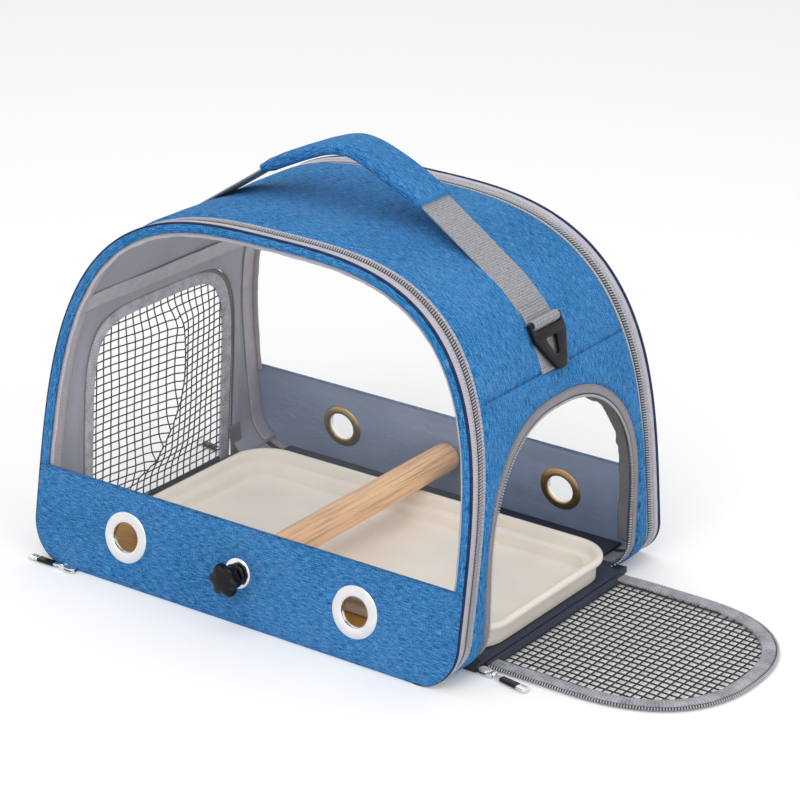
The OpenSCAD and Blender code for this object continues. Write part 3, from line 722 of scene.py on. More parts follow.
@dataclass(frozen=True)
class Lining(Finish):
    """Thin smooth cloth with soft creases."""

    crease: float = 1.0
    shine: float = 0.5

    def dress(self, tree: Tree) -> None:
        """Draws long soft creases over a very fine weave."""
        fine = tree.noise(tree.place("UV", (1400.0, 1400.0, 1.0)), detail=1.0)
        long = tree.noise(tree.place("UV", (26.0, 55.0, 1.0), 20.0), detail=4.0, rough=0.6)
        cloud = tree.noise(tree.place("Object", (14.0, 14.0, 14.0)), detail=3.0)
        tree.colour(tree.ramp(tree.math("ADD", tree.math("MULTIPLY", cloud, 0.88), tree.math("MULTIPLY", fine, 0.12)),
                              [(0.3, tone(self.base, 0.84)), (0.55, self.base), (0.75, tone(self.base, 1.14))]))
        tree.bump(tree.math("ADD", long, tree.math("MULTIPLY", fine, 0.04)), 2.2 * self.crease, 0.7)
        tree.rough(cloud, self.shine - 0.06, self.shine + 0.12)
        tree.plain(Specular_IOR_Level=0.4)


@dataclass(frozen=True)
class BoardWithPaintedReflection(Lining):
    """A dark board covering whose front strip, where the front eyelets look in, carries a painted warm reflection."""

    reflection_tint: tuple[float, float, float] = (0.8, 0.4, 0.1)
    ends_at: float = -0.062
    stops_at: float = 0.165

    def dress(self, tree: Tree) -> None:
        """Paints a warm reflection over the covering's front strip."""
        super().dress(tree)
        dark = tree.shader.inputs["Base Color"].links[0].from_socket
        xyz = tree.nodes.new("ShaderNodeSeparateXYZ")
        tree.links.new(tree.coord.outputs["Object"], xyz.inputs["Vector"])
        # painted reflection mask: the front strip at Y below ends_at and X below stops_at; the grain noise below only
        # varies this painted reflection
        front = tree.math("MULTIPLY", tree.math("LESS_THAN", xyz.outputs["Y"], self.ends_at),
                          tree.math("LESS_THAN", xyz.outputs["X"], self.stops_at))
        grain = tree.noise(tree.place("Object", (60.0, 900.0, 900.0)), detail=3.0)
        mix = tree.nodes.new("ShaderNodeMixRGB")
        tree.links.new(front, mix.inputs["Fac"])
        tree.links.new(dark, mix.inputs["Color1"])
        tree.links.new(tree.ramp(grain, [(0.3, tone(self.reflection_tint, 0.8)), (0.7, tone(self.reflection_tint, 1.15))]), mix.inputs["Color2"])
        tree.colour(mix.outputs["Color"])


@dataclass(frozen=True)
class ClearSheet(Finish):
    """Clear flexible sheet with a faint haze."""

    haze: float = 0.022

    def dress(self, tree: Tree) -> None:
        """Lets nearly all light through and keeps a wavy gloss."""
        wavy = tree.noise(tree.place("Object", (7.0, 7.0, 12.0)), detail=2.0)
        tree.bump(wavy, 2.0, 0.5)
        tree.plain(Roughness=0.05, IOR=1.46, Alpha=self.haze, Specular_IOR_Level=0.7)
        tree.shader.inputs["Base Color"].default_value = (*self.base, 1.0)


@dataclass(frozen=True)
class PlatedMetal(Finish):
    """Pressed and plated metal with fine wear."""

    gloss: float = 0.16

    def dress(self, tree: Tree) -> None:
        """Varies the gloss with fine scratches and soft stains."""
        scratch = tree.noise(tree.place("Object", (900.0, 900.0, 160.0)), detail=3.0)
        stain = tree.noise(tree.place("Object", (90.0, 90.0, 90.0)), detail=3.0)
        tree.colour(tree.ramp(stain, [(0.3, tone(self.base, 0.93)), (0.6, self.base), (0.8, tone(self.base, 1.05))]))
        tree.rough(scratch, self.gloss, self.gloss + 0.16)
        tree.bump(scratch, 0.03, 0.4)
        tree.plain(Metallic=1.0)


@dataclass(frozen=True)
class MouldedPlastic(Finish):
    """Moulded plastic with a fine grain and slight sink marks."""

    gloss: float = 0.4
    grain: float = 0.06
    cover: float = 0.0
    mirror: float = 0.5

    def dress(self, tree: Tree) -> None:
        """Adds a fine grain to the surface and a cloudy gloss."""
        fine = tree.noise(tree.place("Object", (1600.0, 1600.0, 1600.0)), detail=2.0)
        cloud = tree.noise(tree.place("Object", (22.0, 22.0, 22.0)), detail=3.0)
        tree.colour(tree.ramp(cloud, [(0.25, tone(self.base, 0.95)), (0.75, tone(self.base, 1.04))]))
        tree.rough(cloud, self.gloss - 0.05, self.gloss + 0.1)
        tree.bump(tree.math("ADD", fine, tree.math("MULTIPLY", cloud, 2.0)), self.grain, 0.5)
        tree.plain(Specular_IOR_Level=self.mirror, Coat_Weight=self.cover, Coat_Roughness=0.2)


@dataclass(frozen=True)
class TurnedWood(Finish):
    """Varnished hardwood whose grain runs along Y."""

    def dress(self, tree: Tree) -> None:
        """Stretches rings and pores along the perch."""
        ring = tree.noise(tree.place("Object", (520.0, 16.0, 520.0)), detail=5.0, rough=0.6)
        pore = tree.noise(tree.place("Object", (1500.0, 60.0, 1500.0)), detail=2.0, rough=0.7)
        cloud = tree.noise(tree.place("Object", (20.0, 6.0, 20.0)), detail=2.0)
        mix = tree.math("ADD", tree.math("MULTIPLY", ring, 0.8), tree.math("MULTIPLY", cloud, 0.1))
        mix = tree.math("ADD", mix, tree.math("MULTIPLY", pore, 0.1))
        tree.colour(tree.ramp(mix, [(0.40, tone(self.base, 0.66)), (0.46, tone(self.base, 0.88)),
                                    (0.51, self.base), (0.60, tone(self.base, 1.1))]))
        tree.bump(pore, 0.08, 0.5)
        tree.rough(ring, 0.38, 0.55)
        tree.plain(Coat_Weight=0.12, Coat_Roughness=0.25, Specular_IOR_Level=0.45)


class Finishes:
    """Every finish on the carrier."""

    BLUE = MelangeCloth("blue melange cloth", rgb(28, 126, 194))
    BLUE_BAND = MelangeCloth("blue band cloth", rgb(38, 127, 194))
    # painted shadow: a dark strip that stands in for the shadow gap between the piping and the window frame
    SHADOW_GAP_BLUE = MelangeCloth("dark blue seam", rgb(20, 44, 92), pale=0.05)
    GREY_TAPE = RibbedTape("grey tape", rgb(136, 132, 138), rib=0.9, depth=0.12)
    ZIP_TAPE = RibbedTape("zipper tape", rgb(172, 170, 178), rib=1.6, depth=0.3)
    DOOR_BINDING = RibbedTape("door binding", rgb(152, 153, 158), rib=1.3, depth=0.35, lines=0.12, mottle=0.5, spread=0.6)
    # navy binding, darkened further as painted shade at the sill and the door hems
    SHADED_SILL_TAPE = RibbedTape("sill binding", rgb(34, 43, 64), rib=1.3, depth=0.15)
    # painted light: made lighter than the right door's binding to cancel the shade inside the cabin
    LIGHTENED_LEFT_BINDING = RibbedTape("left door binding", rgb(184, 185, 193), rib=1.2, depth=0.1, lines=0.08, mottle=0.5, spread=0.5)
    LEFT_CHAIN = RibbedTape("left zipper tape", rgb(112, 112, 120), rib=1.2, depth=0.15)
    DARK_TAPE = RibbedTape("dark zipper tape", rgb(52, 52, 58), rib=1.2, depth=0.15)
    WEBBING = RibbedTape("grey webbing", rgb(144, 144, 149), rib=1.05, depth=0.2, shine=0.6, lines=0.14, mottle=0.06, spread=0.5)
    PIPING = RibbedTape("light piping", rgb(182, 178, 187), rib=0.9, depth=0.06, shine=0.42)
    # painted highlight: light grey links that stand in for the glints on a darker coil
    TEETH = MouldedPlastic("zipper coil", rgb(184, 184, 190), gloss=0.28, grain=0.02)
    GREY_TEETH = MouldedPlastic("grey zipper coil", rgb(112, 112, 118), gloss=0.4, grain=0.02)
    LINING = Lining("grey lining", rgb(162, 164, 177), crease=1.3)
    DARK_LINING = Lining("dark band lining", rgb(158, 176, 208), crease=1.2)
    FLOOR = Lining("floor cloth", rgb(54, 57, 68), crease=0.5)
    THREAD = RibbedTape("grey thread", rgb(116, 114, 118), rib=0.5, depth=0.05)
    BLUE_THREAD = RibbedTape("blue thread", rgb(44, 96, 160), rib=0.5, depth=0.05)
    WINDOW = ClearSheet("clear window sheet", rgb(244, 247, 250))
    CHROME = PlatedMetal("bright plating", rgb(238, 238, 240), gloss=0.12)
    BRASS = PlatedMetal("brass lining", rgb(214, 184, 132), gloss=0.3)
    STEEL = PlatedMetal("plain steel", rgb(150, 150, 152), gloss=0.3)
    BLACK = MouldedPlastic("black plastic", rgb(20, 20, 23), gloss=0.24, grain=0.02, mirror=0.22)
    IVORY = MouldedPlastic("ivory plastic", rgb(250, 243, 231), gloss=0.42, grain=0.05, cover=0.15)
    GUARD = Lining("guard cloth", rgb(104, 106, 112), crease=2.0)
    # the dark covering is the board's own colour; the warm front strip is painted reflection
    BOARD = BoardWithPaintedReflection("board covering", rgb(56, 62, 78), crease=0.3, reflection_tint=rgb(214, 158, 86))
    NET = MouldedPlastic("black net cord", rgb(22, 22, 25), gloss=0.6, grain=0.1)
    WOOD = TurnedWood("varnished beech", rgb(255, 202, 152))


# ---- geometry node trees for what repeats


class Repeats:
    """Builds the node trees for what repeats along a line."""

    def __init__(self, name: str, inputs: dict[str, tuple[str, float]]) -> None:
        """Starts a tree with named number inputs.

        Args:
            name: the tree's name.
            inputs: for each input, its socket type and its first value.
        """
        self.tree = bpy.data.node_groups.new(name, "GeometryNodeTree")
        face = self.tree.interface
        face.new_socket("Geometry", in_out="INPUT", socket_type="NodeSocketGeometry")
        face.new_socket("Geometry", in_out="OUTPUT", socket_type="NodeSocketGeometry")
        self.ids = {}
        for key, (kind, value) in inputs.items():
            socket = face.new_socket(key, in_out="INPUT", socket_type=kind)
            if kind != "NodeSocketMaterial":
                socket.default_value = value
            self.ids[key] = socket.identifier
        self.start = self.add("NodeGroupInput")
        self.end = self.add("NodeGroupOutput")

    def add(self, kind: str, **settings: object) -> bpy.types.Node:
        """Adds a node and sets its own options."""
        node = self.tree.nodes.new(kind)
        for key, value in settings.items():
            setattr(node, key, value)
        return node

    def join(self, a: bpy.types.NodeSocket, b: bpy.types.NodeSocket) -> None:
        """Joins two sockets."""
        self.tree.links.new(a, b)

    def close(self, geometry: bpy.types.NodeSocket) -> None:
        """Ends the tree in Realize Instances and Set Material."""
        real, dress = self.add("GeometryNodeRealizeInstances"), self.add("GeometryNodeSetMaterial")
        self.join(geometry, real.inputs[0])
        self.join(real.outputs[0], dress.inputs["Geometry"])
        self.join(self.start.outputs["Finish"], dress.inputs["Material"])
        self.join(dress.outputs["Geometry"], self.end.inputs[0])

    def run(self, base: bpy.types.Object, name: str, finish: Finish, **values: float) -> bpy.types.Object:
        """Runs the tree on a base mesh and keeps the result as a plain mesh.

        Args:
            base: the object that holds the points; it is removed.
            name: the result's name.
            finish: the finish that the tree sets.
            values: a value for each named input.

        Returns:
            The new object.
        """
        mod = base.modifiers.new("repeat", "NODES")
        mod.node_group = self.tree
        mod[self.ids["Finish"]] = finish.material()
        for key, value in values.items():
            mod[self.ids[key]] = value
        graph = bpy.context.evaluated_depsgraph_get()
        graph.update()
        mesh = bpy.data.meshes.new_from_object(base.evaluated_get(graph), preserve_all_data_layers=True,
                                               depsgraph=graph)
        mesh.name = name
        base.modifiers.remove(mod)
        old = base.data
        bpy.data.objects.remove(base)
        bpy.data.meshes.remove(old)
        obj = bpy.data.objects.new(name, mesh)
        bpy.context.scene.collection.objects.link(obj)
        return obj


def links_tree() -> Repeats:
    """A tree that sets one small rounded link at each point, turned by the point's own directions."""
    t = Repeats("links along a line", {"Length": ("NodeSocketFloat", 0.001), "Width": ("NodeSocketFloat", 0.001),
                                       "Height": ("NodeSocketFloat", 0.001), "Finish": ("NodeSocketMaterial", 0)})
    ball = t.add("GeometryNodeMeshUVSphere")
    ball.inputs["Segments"].default_value = 6
    ball.inputs["Rings"].default_value = 5
    ball.inputs["Radius"].default_value = 0.5
    size = t.add("ShaderNodeCombineXYZ")
    for key, axis in (("Length", "X"), ("Width", "Y"), ("Height", "Z")):
        t.join(t.start.outputs[key], size.inputs[axis])
    turns = []
    for key, axis, pivot in (("along", "X", "AUTO"), ("out", "Z", "X")):
        read = t.add("GeometryNodeInputNamedAttribute", data_type="FLOAT_VECTOR")
        read.inputs["Name"].default_value = key
        turn = t.add("FunctionNodeAlignRotationToVector", axis=axis, pivot_axis=pivot)
        t.join(read.outputs["Attribute"], turn.inputs["Vector"])
        turns.append(turn)
    t.join(turns[0].outputs["Rotation"], turns[1].inputs["Rotation"])
    put = t.add("GeometryNodeInstanceOnPoints")
    t.join(t.start.outputs["Geometry"], put.inputs["Points"])
    t.join(ball.outputs["Mesh"], put.inputs["Instance"])
    t.join(turns[1].outputs["Rotation"], put.inputs["Rotation"])
    t.join(size.outputs["Vector"], put.inputs["Scale"])
    soft = t.add("GeometryNodeSetShadeSmooth")
    t.join(put.outputs["Instances"], soft.inputs["Geometry"])
    t.close(soft.outputs["Geometry"])
    return t


def cords_tree() -> Repeats:
    """A tree that draws a round cord along every line of a mesh."""
    t = Repeats("cords along lines", {"Radius": ("NodeSocketFloat", 0.0005), "Sides": ("NodeSocketInt", 5),
                                      "Finish": ("NodeSocketMaterial", 0)})
    line, tube, ring = t.add("GeometryNodeMeshToCurve"), t.add("GeometryNodeCurveToMesh"), t.add(
        "GeometryNodeCurvePrimitiveCircle")
    t.join(t.start.outputs["Geometry"], line.inputs["Mesh"])
    t.join(t.start.outputs["Radius"], ring.inputs["Radius"])
    t.join(t.start.outputs["Sides"], ring.inputs["Resolution"])
    t.join(line.outputs["Curve"], tube.inputs["Curve"])
    t.join(ring.outputs["Curve"], tube.inputs["Profile Curve"])
    tube.inputs["Fill Caps"].default_value = True
    t.close(tube.outputs["Mesh"])
    return t


class Shop:
    """Holds the node trees and fits finished pieces to their bodies."""

    def __init__(self) -> None:
        """Builds both trees."""
        self.links = links_tree()
        self.cords = cords_tree()

    def place_links(self, name: str, pts: np.ndarray, along: np.ndarray, out: np.ndarray, size: Sequence[float],
                    finish: Finish) -> bpy.types.Object:
        """Sets a rounded link at each point.

        Args:
            name: the piece's name.
            pts: an (n, 3) array of places in millimetres.
            along: the direction of each link's length.
            out: the direction of each link's height.
            size: length, width and height in millimetres.
            finish: the links' finish.

        Returns:
            The piece.
        """
        mesh = bpy.data.meshes.new(name + "_points")
        mesh.from_pydata((pts * MM).tolist(), [], [])
        for key, value in (("along", along), ("out", out)):
            layer = mesh.attributes.new(key, "FLOAT_VECTOR", "POINT")
            layer.data.foreach_set("vector", np.ascontiguousarray(value, float).ravel())
        base = bpy.data.objects.new(name + "_points", mesh)
        bpy.context.scene.collection.objects.link(base)
        return self.links.run(base, name, finish, Length=size[0] * MM, Width=size[1] * MM, Height=size[2] * MM)

    def draw_cords(self, name: str, lines: Sequence[np.ndarray], radius: float, finish: Finish,
                   sides: int = 5) -> bpy.types.Object:
        """Draws a round cord along each line.

        Args:
            name: the piece's name.
            lines: arrays of places in millimetres.
            radius: the cord's radius in millimetres.
            finish: the cords' finish.
            sides: the number of sides of a cord.

        Returns:
            The piece.
        """
        verts, edges = [], []
        for line in lines:
            start = len(verts)
            verts.extend((line * MM).tolist())
            edges.extend([(start + i, start + i + 1) for i in range(len(line) - 1)])
        mesh = bpy.data.meshes.new(name + "_lines")
        mesh.from_pydata(verts, edges, [])
        base = bpy.data.objects.new(name + "_lines", mesh)
        bpy.context.scene.collection.objects.link(base)
        return self.cords.run(base, name, finish, Radius=radius * MM, Sides=sides)

    @staticmethod
    def fit(obj: bpy.types.Object, body: str, slot: str, *nodes: str) -> bpy.types.Object:
        """Puts a finished piece on its body and in the place of its CAD nodes.

        Args:
            obj: the piece.
            body: the body it moves with.
            slot: the record's material slot; not used.
            nodes: the CAD nodes that it stands for.

        Returns:
            The same piece.
        """
        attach(obj, body)
        if nodes:
            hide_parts(*nodes)
        LOG.info("%s: %d faces on %s", obj.name, len(obj.data.polygons), body)
        return obj


# ---- the cabin's cloth


def wall_at(across: np.ndarray, s: np.ndarray, d: np.ndarray | float, end: End) -> np.ndarray:
    """Points on an end wall, by distance along the arch from its foot.

    Args:
        across: Y of each point.
        s: distance from the foot.
        d: how far inside the outer surface.
        end: which end wall.

    Returns:
        An array with a last axis of X, Y and Z.
    """
    flat = ARCH.at(s.ravel(), np.broadcast_to(d, s.shape).ravel()).reshape(*s.shape, 2)
    return np.stack([end.value * flat[..., 0], across, flat[..., 1]], axis=-1)


def edge_fade(v: np.ndarray, width: float) -> np.ndarray:
    """1 inside a strip from 0 to 1, falling to 0 at both of its edges."""
    return smooth(v, 0.0, width) * smooth(1.0 - v, 0.0, width)


@dataclass
class Shell:
    """The roof, the end walls, the floor and their linings."""

    puff: float = 1.3
    crease: float = 0.9
    turn_in: float = 3.0

    def outer_depth(self, pts: np.ndarray, fade: np.ndarray, seed: float) -> np.ndarray:
        """How far the padded cloth lies inside the plain surface; less than 0 stands proud."""
        soft = self.puff * fade + self.crease * ripple(pts, 62.0, seed) * fade
        return 0.9 * (1 - fade) - soft - 0.22 * ripple(pts, 17.0, seed + 5) * fade

    def roof(self, shop: Shop) -> None:
        """The padded roof, dimpled where the handle pulls on it."""
        s1, s2 = ARCH.s_at(CABIN.seam_z, End.RIGHT), ARCH.s_at(CABIN.seam_z, End.LEFT)
        s = np.linspace(s1, s2, 190)
        v = np.linspace(0.0, 1.0, 74)
        flat = ARCH.at(s)
        half = CABIN.face_y(flat[:, 1], CABIN.strip - 0.4)
        y = (2 * v[None, :] - 1) * half[:, None]
        base = np.stack([np.broadcast_to(flat[:, :1], y.shape), y, np.broadcast_to(flat[:, 1:], y.shape)], axis=-1)
        su = np.broadcast_to((s[:, None] - s1) / (s2 - s1), y.shape)
        fade = edge_fade(su, 0.012) * edge_fade(np.broadcast_to(v, y.shape), 0.035)
        d = self.outer_depth(base, fade, 1.0)
        valley = np.exp(-(((np.abs(base[..., 0]) - 92) / 26) ** 2)) * np.exp(-((base[..., 1] / 50) ** 2))
        d = d + 2.0 * valley * fade
        self.sheet_on_arch(shop, "roof_panel", s, y, d, CABIN.wall - 0.1, Finishes.BLUE, "blue_fabric", "top_panel")
        lining_half = CABIN.face_y(flat[:, 1], 4.8)
        y2 = (2 * v[None, ::2] - 1) * lining_half[:, None]
        base2 = np.stack([np.broadcast_to(flat[:, :1], y2.shape), y2, np.broadcast_to(flat[:, 1:], y2.shape)], axis=-1)
        sag = 3.05 + (1.0 + ripple(base2, 40.0, 9.0)) * 0.9 * edge_fade(np.broadcast_to(v[::2], y2.shape), 0.1)
        self.sheet_on_arch(shop, "roof_lining_cloth", s, y2, sag, sag + CABIN.lining, Finishes.LINING,
                           "lining_fabric", "roof_lining", cloth=(s2 - s1, float(2 * lining_half.mean())))

    @staticmethod
    def sheet_on_arch(shop: Shop, name: str, s: np.ndarray, y: np.ndarray, outer: np.ndarray,
                      inner: np.ndarray | float, finish: Finish, slot: str, node: str,
                      cloth: tuple[float, float] | None = None) -> None:
        """Builds a sheet that follows the arch between two depths.

        Args:
            shop: fits the piece to its body.
            name: the piece's name.
            s: distances along the arch, one a row.
            y: Y of each point, rows by columns.
            outer: depth of its outer side at each point.
            inner: depth of its inner side.
            finish: its finish.
            slot: its material slot.
            node: the CAD node that it replaces.
            cloth: length and width of its flat cut, for a thin sheet; not used.
        """
        rows = np.broadcast_to(s[:, None], y.shape)
        faces = []
        for d in (outer, np.broadcast_to(inner, y.shape)):
            flat = ARCH.at(rows.ravel(), np.asarray(d).ravel()).reshape(*y.shape, 2)
            faces.append(np.stack([flat[..., 0], y, flat[..., 1]], axis=-1))
        parts = MeshParts()
        parts.slab(faces[0], faces[1], np.stack([rows, y], axis=-1))
        obj = weld(parts.build(name, [finish]))
        shop.fit(obj, "cabin", slot, node)

    def wall_grid(self, door: DoorShape, grow: float, low: float, inside: float, rows: int,
                  end: End) -> tuple[np.ndarray, np.ndarray, np.ndarray]:
        """Lays a grid on an end wall between its opening and its outer edges.

        Args:
            door: the door in the wall.
            grow: how far outside the door's edge the grid starts.
            low: height of both feet.
            inside: how far inside the leaning faces the grid ends.
            rows: number of steps from the opening outwards.
            end: which end wall; not used.

        Returns:
            Y, distance along the arch, and the share of the way outwards, of each point.
        """
        line = door.outline(grow, low - door.hinge_z, 3.0)
        y1, s1 = line[:, 0], np.interp(line[:, 1] + door.hinge_z, ARCH.line[: len(ARCH.s) // 2, 1],
                                       ARCH.s[: len(ARCH.s) // 2])
        top = ARCH.s_at(CABIN.seam_z, End.RIGHT)
        z_mid = np.minimum(s1, ARCH.s_at(80.0, End.RIGHT))
        lean = math.tan(math.radians(CABIN.lean))
        half_at = CABIN.face_y(0.0, inside)
        z_of = np.interp(z_mid, ARCH.s, ARCH.line[:, 1])
        dy, ds = np.abs(y1), s1 - z_mid
        to_side = (half_at - lean * z_of) / np.maximum(dy + lean * ds, 1e-6)
        to_top = (top - z_mid) / np.maximum(ds, 1e-6)
        t = np.minimum(to_side, to_top)
        y2, s2 = y1 * t, z_mid + ds * t
        s2 = np.where(to_top < to_side, top, s2)
        corner_y = float(CABIN.face_y(CABIN.seam_z, inside))
        for sign in (-1, 1):
            k = int(np.argmin((y2 - sign * corner_y) ** 2 + (s2 - top) ** 2))
            y2[k], s2[k] = sign * corner_y, top
        v = np.linspace(0.0, 1.0, rows)[None, :]
        y = y1[:, None] * (1 - v) + y2[:, None] * v
        s = s1[:, None] * (1 - v) + s2[:, None] * v
        return y, s, np.broadcast_to(v, y.shape)

    def end_wall(self, shop: Shop, end: End, door: DoorShape) -> None:
        """One end's padded wall and its lining, round the door's opening."""
        grow = door.gap + door.teeth + 7.0
        word = end.name.lower()
        y, s, v = self.wall_grid(door, grow - 0.4, 0.0, CABIN.strip - 0.4, 16, end)
        base = wall_at(y, s, 0.0, end)
        fade = smooth(v, 0.0, 0.1) * smooth(1 - v, 0.0, 0.09)
        d = self.outer_depth(base, fade, 3.0 + end.value)
        parts = MeshParts()
        parts.slab(wall_at(y, s, d, end), wall_at(y, s, CABIN.wall - 0.1, end), np.stack([s, y], axis=-1),
                   inner_slot=1)
        obj = weld(parts.build(word + "_wall", [Finishes.BLUE, Finishes.LINING]))
        shop.fit(obj, "cabin", "blue_fabric", word + "_end_panel")
        start = grow if end is End.RIGHT else door.gap
        y, s, v = self.wall_grid(door, start, CABIN.floor_top, 4.4, 20, end)
        base = wall_at(y, s, 3.0, end)
        sag = 3.05 + (1 + ripple(base, 32.0, 7.0 + end.value)) * 0.8 * smooth(v, 0.0, 0.2) * smooth(1 - v, 0.0, 0.2)
        if end is End.LEFT:
            drawn = Opening(end, door).drawn_in(wall_at(y[:, :1], s[:, :1], 0.0, end)[:, 0])[:, None]
            sag = sag + drawn * (1 - smooth(v, 0.1, 0.5)) + 0.5 * (1 - smooth(v, 0.0, 0.1))
        parts = MeshParts()
        parts.slab(wall_at(y, s, sag, end), wall_at(y, s, sag + CABIN.lining, end), np.stack([s, y], axis=-1))
        obj = shop.fit(weld(parts.build(word + "_lining_cloth", [Finishes.LINING])), "cabin", "lining_fabric",
                       word + "_end_lining")

    def floor(self, shop: Shop) -> None:
        """The floor cloth under the board, with a tongue under each door's sill."""
        x = np.linspace(-CABIN.flat, CABIN.flat, 90)
        v = np.linspace(-1.0, 1.0, 60)
        y = np.broadcast_to(v[None, :] * float(CABIN.face_y(0.0, 3.1)), (90, 60))
        grid = np.stack([np.broadcast_to(x[:, None], y.shape), y, np.zeros(y.shape)], axis=-1)
        low = grid.copy()
        low[..., 2] = 0.12 + 0.1 * ripple(grid, 25.0, 2.0)
        high = grid.copy()
        high[..., 2] = 1.55
        parts = MeshParts()
        parts.slab(high, low, np.stack([grid[..., 0], y], axis=-1))
        for end, half in ((End.RIGHT, RIGHT_DOOR.half + 9.7), (End.LEFT, LEFT_DOOR.half + 9.7)):
            tongue = np.stack(np.meshgrid(np.linspace(CABIN.flat, 191.6, 8) * end.value,
                                          np.linspace(-half, half, 50), indexing="ij"), axis=-1)
            t = np.concatenate([tongue, np.zeros((*tongue.shape[:2], 1))], axis=-1)
            hi, lo = t.copy(), t.copy()
            hi[..., 2], lo[..., 2] = 1.55, 0.15
            parts.slab(hi, lo, tongue)
        shop.fit(weld(parts.build("floor_cloth", [Finishes.FLOOR])), "cabin", "floor_fabric", "floor_panel")

    def seam_strips(self, shop: Shop) -> None:
        """The tapes over the two seams inside."""
        parts = MeshParts()
        for end in End:
            s0 = ARCH.s_at(CABIN.seam_z, End.RIGHT)
            v = np.linspace(-1.0, 1.0, 80)
            y = np.broadcast_to(v[:, None] * float(CABIN.face_y(CABIN.seam_z + 6, 5.4)), (80, 9))
            s = np.broadcast_to(s0 + np.linspace(-8.0, 8.0, 9)[None, :], y.shape) + 1.1 * ripple(
                np.stack([y, y * 0, y * 0], axis=-1), 50.0, 4.0)
            wave = 5.3 + 0.5 * ripple(np.stack([y, s, s * 0], axis=-1), 22.0, 11.0)
            parts.slab(wall_at(y, s, wave, end), wall_at(y, s, wave + 0.7, end), np.stack([y, s], axis=-1))
        shop.fit(weld(parts.build("inner_seam_tapes", [Finishes.PIPING])), "cabin", "grey_binding", "seam_tapes")

    def build(self, shop: Shop) -> None:
        """Builds every piece of the shell."""
        self.roof(shop)
        self.end_wall(shop, End.RIGHT, RIGHT_DOOR)
        self.end_wall(shop, End.LEFT, LEFT_DOOR)
        self.floor(shop)
        self.seam_strips(shop)


# ---- the two window faces


